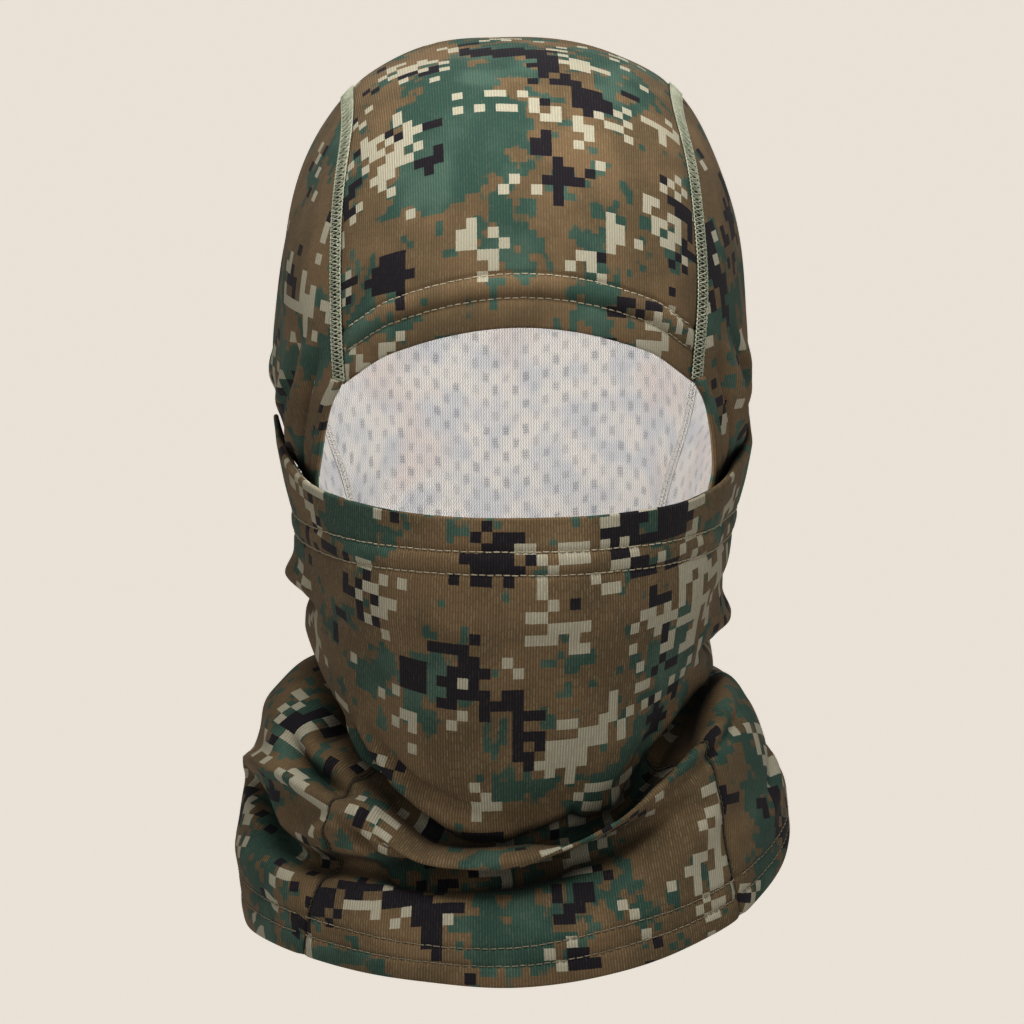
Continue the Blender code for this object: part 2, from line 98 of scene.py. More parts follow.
# Cape: at each azimuth in degrees, (radius, height) in mm down the cloth from below the neckline to the hem
CAPE_STEPS = (0.0, 0.08, 0.20, 0.33, 0.47, 0.62, 0.80, 1.0)
CAPE_PROFILES = {
    -180: ((82, -92), (85, -99), (89, -110), (93, -121), (97, -132), (101, -142), (103, -151)),
    -150: ((80, -92), (84, -99), (89, -112), (93, -124), (97, -136), (101, -149), (103, -160)),
    -120: ((75, -91), (81, -98), (88, -112), (94, -127), (98, -141), (100, -156), (102, -171)),
    -90: ((73, -86), (84, -94), (92, -107), (97, -121), (100, -139), (101, -160), (100, -182)),
    -60: ((75, -100), (86, -104), (95, -114), (96, -128), (99, -146), (103, -165), (103, -182)),
    -40: ((80, -119), (89, -122), (97, -131), (97, -141), (95, -151), (104, -168), (106, -184)),
    -20: ((82, -138), (91, -141), (101, -145), (87, -151), (98, -157.5), (105, -171.5), (109, -185.5)),
    0: ((80, -141), (89, -140.5), (102, -142.5), (86, -149.5), (97.5, -157), (106, -171), (110, -186.5)),
    20: ((78, -136), (88, -135.5), (102, -129.5), (91, -138.5), (98, -147.5), (107, -164), (110, -182)),
    40: ((75, -119), (86, -115.5), (99, -107.5), (101, -122), (103, -138), (107, -157), (109, -173.5)),
    60: ((73, -100), (84, -91), (94, -94.5), (99, -108), (102, -128), (105, -148), (106, -164)),
    90: ((72, -88.5), (79, -92), (85, -106), (92, -117), (100, -128), (102, -136), (102, -145)),
    120: ((75, -90), (81, -95), (87, -105), (92, -116), (97, -126), (100, -134), (101, -141)),
    150: ((80, -91), (84, -96), (88, -106), (92, -117), (96, -128), (100, -138), (102, -144.5)),
}

# Folds: (points of (azimuth in degrees, height in mm), amplitude, width above, width below), all mm
HOOD_FOLDS = (
    # the crease under the collar, from the swirl round the front, and the lip below it
    (((-52, -149), (-31, -150), (-16, -150.5), (0, -149.5), (9, -146)), -9.0, 2.8, 3.4),
    (((6, -147), (14, -143), (22, -138.5), (31, -131), (38, -125)), -4.0, 2.8, 3.6),
    (((-44, -142), (-20, -143.5), (0, -141.5), (18, -131)), 1.8, 3.2, 2.0),
    # left side: the valley beside the cover, the roll with its valley, and the swirl
    (((-68, -80), (-60, -92), (-56, -106)), -9.0, 5.5, 5.5),
    (((-100, -104), (-80, -101), (-68, -110)), 3.0, 7.0, 7.0),
    (((-66, -108), (-58, -114.5), (-50, -119.5), (-43, -124)), -9.0, 3.4, 2.6),
    (((-97, -126), (-75, -119), (-58, -119), (-46, -125), (-36, -130)), 6.0, 3.2, 4.4),
    (((-36, -129), (-44, -135), (-50, -140), (-48, -147)), 4.0, 4.0, 3.4),
    (((-90, -128), (-73, -136), (-66, -145), (-54, -150), (-46, -151)), -10.0, 4.6, 3.4),
    (((-42, -132), (-37, -139), (-33, -145)), -3.0, 1.8, 1.8),
    (((-34, -136), (-28, -142), (-20, -148)), -2.2, 1.6, 1.6),
    (((-85, -152), (-68, -156), (-52, -159)), 3.2, 7.0, 8.0),
    # right side: the gap inside the rim, the crease near the outline and soft drags
    (((72, -92), (58, -99), (46, -108), (34, -119)), -4.0, 3.4, 3.0),
    (((70, -94), (54, -100), (42, -109), (30, -121)), 1.4, 2.8, 3.4),
    (((84, -107), (75, -116), (67, -128)), -4.0, 3.0, 3.4),
    (((80, -118), (70, -130), (60, -144)), 2.2, 4.5, 5.0),
    (((52, -122), (40, -138), (30, -153)), 1.6, 6.0, 6.0),
    (((44, -124), (33, -138), (24, -150)), -1.4, 3.0, 3.0),
    (((30, -160), (10, -171), (-10, -175)), 1.2, 6.0, 7.0),
    # ears and the drag lines that run down the side panels to the cover's rolled edge
    (((-95, 28), (-92, 16)), 2.4, 16.0, 16.0),
    (((95, 28), (92, 16)), 2.4, 16.0, 16.0),
    (((-50, 38), (-56, 20), (-61, 6), (-65, -8)), -2.8, 2.2, 2.2),
    (((-54, 40), (-62, 18), (-72, 2), (-80, -8)), 2.8, 3.4, 3.4),
    (((-59, 44), (-67, 26), (-76, 14)), -2.4, 2.6, 2.6),
    (((-64, 40), (-75, 20), (-86, 10)), 2.0, 3.0, 3.0),
    (((50, 36), (56, 18), (61, 4), (65, -8)), -2.8, 2.2, 2.2),
    (((54, 40), (62, 18), (72, 2), (80, -8)), 2.8, 3.4, 3.4),
    (((59, 46), (67, 28), (76, 16)), -2.4, 2.6, 2.6),
    (((64, 40), (75, 20), (86, 10)), 2.0, 3.0, 3.0),
    # nape and back
    (((-150, -84), (180, -88)), -1.5, 4.0, 4.0),
    (((150, -100), (120, -108), (95, -112)), 1.6, 6.0, 6.0),
    (((-170, -112), (-140, -108), (-115, -116)), -2.4, 5.0, 5.0),
    (((-160, -124), (-130, -122), (-105, -136)), 2.4, 6.0, 7.0),
    (((170, -118), (140, -114), (112, -122)), -2.2, 5.0, 5.0),
)
COVER_FOLDS = (
    (((-97, -46), (-76, -50), (-64, -52)), 4.5, 4.5, 3.2),
    (((-95, -56), (-76, -60), (-62, -60)), -3.6, 2.4, 3.2),
    (((-92, -66), (-72, -74), (-58, -88)), 2.4, 5.0, 6.0),
    (((-88, -74), (-68, -84), (-56, -97)), -2.6, 3.0, 3.4),
    (((97, -60), (76, -66), (60, -66)), 5.5, 5.5, 3.6),
    (((95, -72), (72, -77), (52, -74)), -4.0, 2.6, 3.0),
    (((90, -82), (72, -85), (58, -90)), 3.0, 4.0, 4.0),
    (((92, -44), (70, -50), (50, -54)), -1.6, 4.0, 4.0),
    (((40, -62), (30, -88), (34, -108)), -0.9, 8.0, 8.0),
    (((-44, -60), (-34, -84), (-36, -104)), -0.9, 8.0, 8.0),
    # the fullness that gathers over the neckline, and its bunched folds
    (((-40, -122), (-22, -134), (-6, -138), (10, -134), (24, -128)), 5.0, 9.0, 7.0),
    (((-50, -100), (-42, -113), (-30, -125), (-15, -138)), 5.0, 2.8, 2.2),
    (((-46, -100), (-37, -113), (-24, -125), (-8, -136)), -5.0, 2.0, 1.8),
    (((-42, -98), (-31, -112), (-17, -123), (-2, -131)), 3.6, 2.6, 2.2),
    (((-36, -100), (-25, -112), (-12, -120)), -3.4, 2.2, 2.0),
    (((-38, -124), (-28, -133), (-18, -142)), -2.4, 1.7, 1.7),
    (((46, -100), (36, -114), (20, -126)), 2.6, 3.0, 2.6),
    (((48, -108), (34, -121), (18, -131)), -2.4, 2.2, 2.0),
    (((14, -126), (12, -134)), -2.2, 2.4, 2.4),
    (((24, -122), (23, -131)), 2.0, 2.6, 2.6),
    (((33, -116), (32, -127)), -2.2, 2.2, 2.2),
)

# How far the cover's lower edge hangs below the neckline (mm) at azimuths in degrees
COVER_HANG = (
    (-97, 0.0), (-62, 0.0), (-45, 2.5), (-28, 5.5), (-16, 6.5), (-6, 4.0), (4, 0.0), (11, -2.0),
    (19, 0.5), (26, -1.5), (30, -6.0), (36, -9.0), (46, -7.0), (60, -2.5), (97, 0.0),
)

# Waves of the cloth's unevenness: thirds of their radians per metre along x, y and z, and their phase
RIPPLES = ((31, 12, 17, 0.3), (-19, 27, 24, 1.7), (23, -22, 34, 4.1), (47, 38, -29, 2.6))
RIPPLE_HEIGHT = 0.00030
CREASE_ARC = 0.092           # metres of cloth per radian of azimuth, for measuring folds

CLOTH = 0.0007               # thickness of the knit
HEM_TURN = 0.00095           # radius of a turned hem
STEP = 0.0019                # spacing of the cloth's points
DOME_ROWS = 66               # rows of a side panel above the dome's base
SEAM_GAP = 0.0001
SIDES = (("left", 1), ("right", -1))

# Curves of the form -------------------------------------------------------------------------------


def between(t, step, first, last):
    """A smooth curve's value part way from one (value, slope) to the next, a step apart."""
    start = (1 + 2 * t) * (1 - t) ** 2 * first[0] + t * (1 - t) ** 2 * step * first[1]
    end = t * t * (3 - 2 * t) * last[0] + t * t * (t - 1) * step * last[1]
    return start + end


def curve(table, at):
    """Values of a table at some positions, on a smooth curve through its rows."""
    rows = np.array(sorted(table), dtype=float)
    keys = rows[:, 0]
    values = rows[:, 1:]
    at = np.clip(np.asarray(at, dtype=float), keys[0], keys[-1])
    slopes = np.gradient(values, keys, axis=0)
    i = np.clip(np.searchsorted(keys, at) - 1, 0, len(keys) - 2)
    step = (keys[i + 1] - keys[i])[..., None]
    t = (at - keys[i])[..., None] / step
    return between(t, step, (values[i], slopes[i]), (values[i + 1], slopes[i + 1]))


def smoothstep(low, high, value):
    t = np.clip((value - low) / (high - low), 0.0, 1.0)
    return t * t * (3 - 2 * t)


def neckline(angle):
    front = np.maximum(np.cos(angle), 0.0)
    return NECK_LEVEL - CHIN_DROP * front * front


def hood_reach(level):
    rise = np.clip((level - DOME_BASE) / (CROWN_TOP - DOME_BASE), 0.0, 1.0)
    side = (1 - rise**DOME_POWER_SIDE) ** (1 / DOME_POWER_SIDE)
    depth = (1 - rise**DOME_POWER_DEPTH) ** (1 / DOME_POWER_DEPTH)
    dome = np.stack([HEAD_HALF_WIDTH * side, HEAD_FRONT * depth, HEAD_BACK * depth], -1)
    return np.where((level > DOME_BASE)[..., None], dome, curve(HOOD_RINGS, level))


def cover_reach(level):
    return curve(COVER_RINGS, level)


def squareness(level):
    return 2.08 + 0.22 * np.clip((level - HEM_LEVEL) / (JAW_LEVEL - HEM_LEVEL), 0.0, 1.0)


def ring(angle, level, reach=hood_reach):
    """Points of the head and neck at ring angles and levels: 0 is the front, +90 degrees is +X."""
    angle, level = np.broadcast_arrays(np.asarray(angle, float), np.asarray(level, float))
    size = reach(level)
    depth = np.where(np.cos(angle) >= 0, size[..., 1], size[..., 2])
    power = squareness(level)
    across = (np.abs(np.sin(angle)) / size[..., 0]) ** power
    along = (np.abs(np.cos(angle)) / depth) ** power
    radius = (across + along) ** (-1 / power)
    part = np.clip((JAW_LEVEL - level) / (JAW_LEVEL - NECK_LEVEL), 0.0, 1.0)
    height = np.where(level >= JAW_LEVEL, level, JAW_LEVEL + part * (neckline(angle) - JAW_LEVEL))
    return np.stack([radius * np.sin(angle), -radius * np.cos(angle), height], -1)


def cape_net():
    """Rows of (azimuth, radius and height of each knot), closed round the neck."""
    rows = []
    for azimuth, profile in CAPE_PROFILES.items():
        flat = [value / 1000 for knot in profile for value in knot]
        rows += [(azimuth + turn, *flat) for turn in (-360, 0, 360)]
    return rows


def cape(angle, part):
    """Points of the cape: part 0 is the neckline and 1 the hem."""
    angle, part = np.broadcast_arrays(np.asarray(angle, float), np.asarray(part, float))
    azimuth = (np.degrees(angle) + 180) % 360 - 180
    knots = curve(CAPE_NET, azimuth).reshape(*angle.shape, len(CAPE_STEPS) - 1, 2)
    neck = ring(angle, np.full(angle.shape, NECK_LEVEL))
    first = np.stack([np.hypot(neck[..., 0], neck[..., 1]), neck[..., 2]], -1)[..., None, :]
    knots = np.concatenate([first, knots], axis=-2)
    steps = np.array(CAPE_STEPS)
    slopes = np.gradient(knots, steps, axis=-2)
    i = np.clip(np.searchsorted(steps, part) - 1, 0, len(steps) - 2)
    step = (steps[i + 1] - steps[i])[..., None]
    t = (part - steps[i])[..., None] / step

    def pick(at):
        index = at[..., None, None].repeat(2, -1)
        return [np.take_along_axis(values, index, -2)[..., 0, :] for values in (knots, slopes)]

    spot = between(t, step, pick(i), pick(i + 1))
    radius = spot[..., 0]
    return np.stack([radius * np.sin(angle), -radius * np.cos(angle), spot[..., 1]], -1)


def hood(angle, level):
    """Points of the hood and cape."""
    angle, level = np.broadcast_arrays(np.asarray(angle, float), np.asarray(level, float))
    head = ring(angle, np.maximum(level, NECK_LEVEL))
    part = np.clip((NECK_LEVEL - level) / (NECK_LEVEL - HEM_LEVEL), 0.0, 1.0)
    return np.where((level >= NECK_LEVEL)[..., None], head, cape(angle, part))


def cover(angle, level):
    return ring(angle, level, cover_reach)


def unit(vectors):
    return vectors / np.maximum(np.linalg.norm(vectors, axis=-1, keepdims=True), 1e-12)


def normals_of(form, angle, level):
    turn = form(angle + 0.012, level) - form(angle - 0.012, level)
    climb = form(angle, level + 0.0016) - form(angle, level - 0.0016)
    return unit(np.cross(turn, climb))


def path_angle(y, z):
    angle = np.degrees(np.arctan2(z - DOME_BASE, -y))
    return np.where(angle > -60, angle, angle + 360)


def crown_size(point):
    """Below 1 inside the head's form and above 1 outside it."""
    z = point[..., 2]
    size = hood_reach(z)
    power = squareness(z)
    depth = np.where(point[..., 1] < 0, size[..., 1], size[..., 2])
    tiny = 1e-9
    across = (np.abs(point[..., 0]) / (size[..., 0] + tiny)) ** power
    return np.where(z >= CROWN_TOP, 9.0, across + (np.abs(point[..., 1]) / (depth + tiny)) ** power)


def crown(x, angle):
    """Points and normals of the crown at distances from the middle plane and path angles in degrees."""
    x, angle = np.broadcast_arrays(np.asarray(x, float), np.asarray(angle, float))
    radians = np.radians(angle)
    direction = np.stack([0 * x, -np.cos(radians), np.sin(radians)], -1)
    start = np.stack([x, 0 * x, 0 * x + DOME_BASE], -1)
    inside = np.zeros(x.shape)
    outside = np.full(x.shape, 0.2)
    for _ in range(34):
        middle = (inside + outside) / 2
        far = crown_size(start + middle[..., None] * direction) > 1
        outside = np.where(far, middle, outside)
        inside = np.where(far, inside, middle)
    point = start + inside[..., None] * direction
    slope = []
    for axis in np.eye(3) * 0.0004:
        low = np.minimum(crown_size(point - axis), 4.0)
        high = np.minimum(crown_size(point + axis), 4.0)
        slope.append(high - low)
    return point, unit(np.stack(slope, -1))


def seam_spacing(angle):
    return curve(SEAM_SPACING, angle)[..., 0]


def ring_angle(x, level, behind):
    size = hood_reach(level)
    power = squareness(level)
    depth = size[..., 2] if behind else -size[..., 1]
    y = depth * np.maximum(1 - (np.abs(x) / size[..., 0]) ** power, 0.0) ** (1 / power)
    return np.arctan2(x, -y)


def seam_angle(level, behind, margin):
    """Ring angle of a flatlock seam at some levels, moved sideways by a margin."""
    level = np.asarray(level, float)
    upper = np.maximum(level, NECK_LEVEL)
    x = np.full(level.shape, float(seam_spacing(90.0)))
    for _ in range(14):
        point = ring(ring_angle(x + margin, upper, behind), upper)
        x = seam_spacing(path_angle(point[..., 1], point[..., 2]))
    angle = ring_angle(x + margin, upper, behind)
    part = np.clip((NECK_LEVEL - level) / (NECK_LEVEL - HEM_LEVEL), 0.0, 1.0)
    return angle + part * CAPE_SEAM_SWING


def brow_height(x):
    """Height of the brow edge: an arch that turns down into the sides of the opening."""
    part = np.abs(x) / seam_spacing(10.0)
    return BROW_CENTRE - BROW_ARCH * part**2 - CORNER_DROP * smoothstep(0.72, 1.06, part)


def brow_angle(x, rise=0.0):
    z = brow_height(x) + rise
    size = hood_reach(z)
    power = squareness(z)
    y = size[..., 1] * (1 - (np.abs(x) / size[..., 0]) ** power) ** (1 / power)
    return np.degrees(np.arctan2(z - DOME_BASE, y))


def cover_top(angle):
    part = np.minimum(np.abs(angle) / COVER_SIDE_ANGLE, 1.0)
    return COVER_TOP_CENTRE + (EAR_LEVEL - COVER_TOP_CENTRE) * part**2.4


def opening_angle(level):
    return ring_angle(curve(OPENING_HALF_WIDTH, level)[..., 0], level, False)


def cape_seam_angle(level):
    part = np.clip((level - NECK_LEVEL) / (HEM_LEVEL - NECK_LEVEL), 0.0, 1.0)
    return CAPE_SEAM_TOP_ANGLE + part * (CAPE_SEAM_HEM_ANGLE - CAPE_SEAM_TOP_ANGLE)


CAPE_NET = cape_net()
CAPE_SEAM_SWING = math.radians(4.0)      # how far the back seams swing outwards down the cape

# Folds --------------------------------------------------------------------------------------------


def fold_height(point, folds):
    """How far the folds lift each point off the smooth form."""
    azimuth = np.arctan2(point[..., 0], -point[..., 1])
    height = point[..., 2]
    total = np.zeros(azimuth.shape)
    for path, amplitude, above, below in folds:
        knots = np.array([(math.radians(a), z / 1000) for a, z in path])
        middle = knots[:, 0].mean()
        turn = (azimuth - middle + np.pi) % (2 * np.pi) - np.pi
        across = turn * CREASE_ARC
        line = np.stack([(knots[:, 0] - middle) * CREASE_ARC, knots[:, 1]], -1)
        lengths = np.linalg.norm(np.diff(line, axis=0), axis=1)
        whole = lengths.sum()
        best = np.full(azimuth.shape, 1e9)
        shape = np.zeros(azimuth.shape)
        done = 0.0
        for a, b, length in zip(line[:-1], line[1:], lengths):
            run = (b - a) / length
            dx = across - a[0]
            dz = height - a[1]
            t = np.clip(dx * run[0] + dz * run[1], 0.0, length)
            ox = dx - t * run[0]
            oz = dz - t * run[1]
            distance = np.hypot(ox, oz)
            side = oz if abs(run[0]) > 0.35 else ox * np.sign(run[1] + 1e-9)
            width = np.where(side > 0, above, below) / 1000
            place = (done + t) / whole
            taper = 0.35 + 0.65 * np.sin(np.pi * np.clip(place, 0.0, 1.0)) ** 0.7
            value = np.exp(-((distance / width) ** 2)) * taper
            nearer = distance < best
            best = np.where(nearer, distance, best)
            shape = np.where(nearer, value, shape)
            done += length
        total += amplitude / 1000 * shape
    return total


def ripple(point):
    """Slight unevenness that every worn cloth has."""
    total = np.zeros(point.shape[:-1])
    for x, y, z, phase in RIPPLES:
        total += np.sin(point[..., 0] * x * 3 + point[..., 1] * y * 3 + point[..., 2] * z * 3 + phase)
    return total * RIPPLE_HEIGHT


def settle(point, normal, folds, extra=0.0):
    lift = fold_height(point, folds) + ripple(point) + extra
    return point + normal * lift[..., None]


def on_hood(angle, level, extra=0.0):
    """Finished points and normals of the hood and cape."""
    point = hood(angle, level)
    normal = normals_of(hood, angle, level)
    return settle(point, normal, HOOD_FOLDS, extra), normal


def on_crown(x, angle, extra=0.0):
    point, normal = crown(x, angle)
    return settle(point, normal, HOOD_FOLDS, extra), normal


def on_cover(angle, level, extra=0.0):
    point = cover(angle, level)
    normal = normals_of(cover, angle, level)
    point = settle(point, normal, COVER_FOLDS, extra)
    under, _ = on_hood(angle, level, 0.0034)
    join = smoothstep(COVER_SIDE_ANGLE - 0.34, COVER_SIDE_ANGLE - 0.03, np.abs(angle))
    join = join * (level > NECK_LEVEL + 0.012)
    return point + join[..., None] * (under - point), normal


# Cloth builder ------------------------------------------------------------------------------------


def spread(start, end, count):
    return np.linspace(start, end, count)


def turned_edge(point, normal, depth, radius=HEM_TURN, steps=6):
    """Rows for a hem: behind the cloth, round the turn, ending just before the first row."""
    away = point[0] - point[1]
    away = unit(away - (away * normal[0]).sum(-1, keepdims=True) * normal[0])
    radius = np.broadcast_to(np.asarray(radius, float), point.shape[1:2])[:, None]
    rows = []
    for row in range(depth, 0, -1):
        rows.append(point[row] - 2 * radius * normal[row])
    for turn in spread(math.pi, 0.0, steps)[:-1]:
        rows.append(point[0] + radius * (normal[0] * (math.cos(turn) - 1) + away * math.sin(turn)))
    return np.array(rows)


def measured_uv(point, base_row, base_column):
    """Cloth coordinates in metres: lengths across from one column and down from one row."""
    across = np.linalg.norm(np.diff(point, axis=1), axis=-1).cumsum(axis=1)
    across = np.concatenate([np.zeros((point.shape[0], 1)), across], axis=1)
    down = np.linalg.norm(np.diff(point, axis=0), axis=-1).cumsum(axis=0)
    down = np.concatenate([np.zeros((1, point.shape[1])), down], axis=0)
    u = across - across[:, base_column : base_column + 1]
    v = down[base_row : base_row + 1] - down
    return np.stack([u, v], -1)


def relaxed_uv(point, base_row, rounds=3, steps=160):
    """Cloth coordinates of the flat panel that the grid would make if it were unsewn and laid down."""
    middle = point.shape[1] // 2
    uv = measured_uv(point, base_row, middle)
    turn = np.array([[0.0, -1.0], [1.0, 0.0]])
    for _ in range(rounds):
        across = np.diff(point, axis=1)
        down = np.diff(point, axis=0)
        mean_across = across[:-1] + across[1:]
        mean_down = down[:, :-1] + down[:, 1:]
        first = unit(mean_across)
        second = np.cross(unit(np.cross(mean_across, mean_down)), first)
        axes = np.stack([first, -second], -1)
        flat_across = np.diff(uv, axis=1)
        flat_down = np.diff(uv, axis=0)
        pairs = (
            (across[:-1], flat_across[:-1]),
            (across[1:], flat_across[1:]),
            (down[:, :-1], flat_down[:, :-1]),
            (down[:, 1:], flat_down[:, 1:]),
        )
        local = [np.einsum("ijk,ijkl->ijl", edge, axes) for edge, _ in pairs]
        along = sum((a * b[1]).sum(-1) for a, b in zip(local, pairs))
        side = sum((a @ turn.T * b[1]).sum(-1) for a, b in zip(local, pairs))
        angle = np.arctan2(side, along)
        cos, sin = np.cos(angle)[..., None], np.sin(angle)[..., None]
        aims = [edge * cos + (edge @ turn.T) * sin for edge in local]
        aim_across = np.zeros(flat_across.shape)
        aim_down = np.zeros(flat_down.shape)
        aim_across[:-1] += aims[0]
        aim_across[1:] += aims[1]
        aim_down[:, :-1] += aims[2]
        aim_down[:, 1:] += aims[3]
        rest = spread_back(aim_across, aim_down, uv.shape) - stiffness(uv)
        step = rest.copy()
        power = (rest * rest).sum()
        for _ in range(steps):
            pull = stiffness(step)
            size = power / max((step * pull).sum(), 1e-30)
            uv = uv + size * step
            rest = rest - size * pull
            after = (rest * rest).sum()
            step = rest + step * (after / max(power, 1e-30))
            power = after
    return uv - uv[base_row, middle]


def spread_back(across, down, shape):
    """Sum of the pulls of a grid's edges at its points."""
    total = np.zeros(shape)
    total[:, 1:] += across
    total[:, :-1] -= across
    total[1:] += down
    total[:-1] -= down
    return total


def stiffness(uv):
    across = np.diff(uv, axis=1)
    down = np.diff(uv, axis=0)
    across[1:-1] *= 2
    down[:, 1:-1] *= 2
    return spread_back(across, down, uv.shape)


def add_mesh(name, vertices, faces, material=None):
    mesh = bpy.data.meshes.new(name)
    mesh.from_pydata(np.asarray(vertices).tolist(), [], faces)
    mesh.update()
    item = bpy.data.objects.new(name, mesh)
    bpy.context.scene.collection.objects.link(item)
    mesh.shade_smooth()
    if material is not None:
        mesh.materials.append(material)
    return item


def grid_faces(down, along):
    a = np.arange(down - 1)[:, None] * along + np.arange(along - 1)[None, :]
    a = a.reshape(-1)
    return np.stack([a, a + along, a + along + 1, a + 1], -1).tolist()


def bind(item, body, nodes):
    """Attach a piece to its body and hide the CAD nodes that it stands for."""
    if body:
        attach(item, body)
    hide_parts(*nodes)


def add_cloth(name, point, uv, outside, nodes, body="hood"):
    """A sheet of knit through a grid of points, with its printed side and its plain side."""
    down, along = point.shape[:2]
    item = add_mesh(name, point.reshape(-1, 3), grid_faces(down, along), outside)
    mesh = item.data
    middle = mesh.polygons[len(mesh.polygons) // 2]
    if middle.normal.dot((middle.center[0], middle.center[1], 0.0)) < 0:
        mesh.flip_normals()
    mesh.materials.append(LINING)
    layer = mesh.uv_layers.new(name="cloth")
    corners = np.zeros(len(mesh.loops), dtype=np.int32)
    mesh.loops.foreach_get("vertex_index", corners)
    layer.data.foreach_set("uv", uv.reshape(-1, 2)[corners].astype(np.float32).reshape(-1))
    shell = item.modifiers.new("knit", "SOLIDIFY")
    shell.thickness = CLOTH
    shell.offset = -1.0
    shell.material_offset = 1
    shell.material_offset_rim = 0
    apply_modifiers(item)
    bind(item, body, nodes)
    return item


def apply_modifiers(item):
    graph = bpy.context.evaluated_depsgraph_get()
    mesh = bpy.data.meshes.new_from_object(item.evaluated_get(graph))
    item.modifiers.clear()
    old = item.data
    item.data = mesh
    bpy.data.meshes.remove(old)
    mesh.name = item.name


# Threads ------------------------------------------------------------------------------------------


def tubes(lines, normals, radius, sides):
    """Vertices and faces of many round threads with the same number of points each."""
    count, steps = lines.shape[:2]
    along = unit(np.gradient(lines, axis=1))
    across = unit(np.cross(along, normals))
    up = np.cross(across, along)
    turn = np.arange(sides) * 2 * np.pi / sides
    ringed = across[:, :, None] * np.cos(turn)[:, None] + up[:, :, None] * np.sin(turn)[:, None]
    vertices = lines[:, :, None] + ringed * radius
    base = np.arange(count)[:, None, None] * steps * sides + np.arange(steps - 1)[None, :, None] * sides
    here = base + np.arange(sides)
    after = base + (np.arange(sides) + 1) % sides
    quads = np.stack([here, here + sides, after + sides, after], -1).reshape(-1, 4).tolist()
    for thread in range(count):
        start = thread * steps * sides
        quads.append(list(range(start, start + sides)))
        quads.append(list(range(start + steps * sides - 1, start + (steps - 1) * sides - 1, -1)))
    return vertices.reshape(-1, 3), quads


def resample(line, normal, spacing):
    """A path and its normals cut again at even lengths."""
    lengths = np.concatenate([[0], np.linalg.norm(np.diff(line, axis=0), axis=1).cumsum()])
    at = np.arange(0.0, lengths[-1], spacing)
    line, normal = (
        np.stack([np.interp(at, lengths, column) for column in values.T], -1) for values in (line, normal)
    )
    return at, line, unit(normal)


def topstitch(name, path, material, node, body="hood", pitch=0.0031, length=0.0027, radius=0.00027):
    """A row of separate lockstitches that dip into the cloth at both ends."""
    fine = 0.0001
    _, line, normal = resample(*path, fine)
    starts = np.arange(0, len(line) - int(length / fine) - 2, int(pitch / fine))
    offsets = spread(0, length / fine, 7).astype(int)
    lift = np.array([-0.0003, 0.00016, 0.00032, 0.00036, 0.00032, 0.00016, -0.0003])
    index = starts[:, None] + offsets[None, :]
    lines = line[index] + normal[index] * lift[None, :, None]
    sway = np.sin(starts * 0.7)[:, None, None] * 0.00008
    side = unit(np.cross(normal[index], np.gradient(lines, axis=1)))
    vertices, faces = tubes(lines + side * sway, normal[index], radius, 6)
    item = add_mesh(name, vertices, faces, material)
    bind(item, body, [node])


def flatlock(name, line, normal, material, node, width, lift, inside=False):
    """The threads of a flatlock seam: needle lines along it and cover threads that cross between them; on the
    outside they lie over a dark strip of painted shadow.
    """
    at, line, normal = resample(line, normal, 0.00030)
    along = unit(np.gradient(line, axis=0))
    side = np.cross(normal, along)
    pitch = 0.0030
    radius = 0.00024
    half = width / 2
    phase = at / pitch * 2 * np.pi

    def zigzag(shift):
        turn = (at / pitch + shift) % 1.0
        return 4 * np.abs(turn - 0.5) - 1

    bob = 0.00010 * np.cos(2 * phase)
    layout = [(zigzag(0.0) * half, 0.00040 + bob, radius), (zigzag(0.5) * half, 0.00062 - bob, radius)]
    if not inside:
        layout.append(((zigzag(0.25) - 1) / 2 * half, 0.00052 + bob, radius * 0.85))
    for place in (-half, half) if not inside else (-half, 0.0, half):
        rise = 0.00042 + 0.00012 * np.cos(2 * phase)
        layout.append((place + 0.00012 * np.sin(2 * phase), rise, radius * 1.15))
    vertices = []
    faces = []
    count = 0
    for across, height, thick in layout:
        path = line + side * np.broadcast_to(across, at.shape)[:, None]
        path = path + normal * (lift + height)[:, None]
        points, quads = tubes(path[None], normal[None], thick, 5)
        vertices.append(points)
        faces += [[corner + count for corner in quad] for quad in quads]
        count += len(points)
    threads = len(faces)
    if not inside:
        # painted shadow: a dark strip under the threads, mostly the shade in the seam's holes and partly the
        # dark cloth of the seam allowance
        strip = ((-half, -0.0001), (0.0, 0.0002), (half, -0.0001))
        under = [line + side * place + normal * (lift + rise) for place, rise in strip]
        faces += [[corner + count for corner in quad] for quad in grid_faces(3, len(line))]
        vertices.append(np.concatenate(under))
    item = add_mesh(name, np.concatenate(vertices), faces, material)
    if not inside:
        item.data.materials.append(SEAM_SHADOW_CLOTH)
        item.data.polygons.foreach_set("material_index", [0] * threads + [1] * (len(faces) - threads))
    bind(item, "hood", [node])


# Materials ----------------------------------------------------------------------------------------


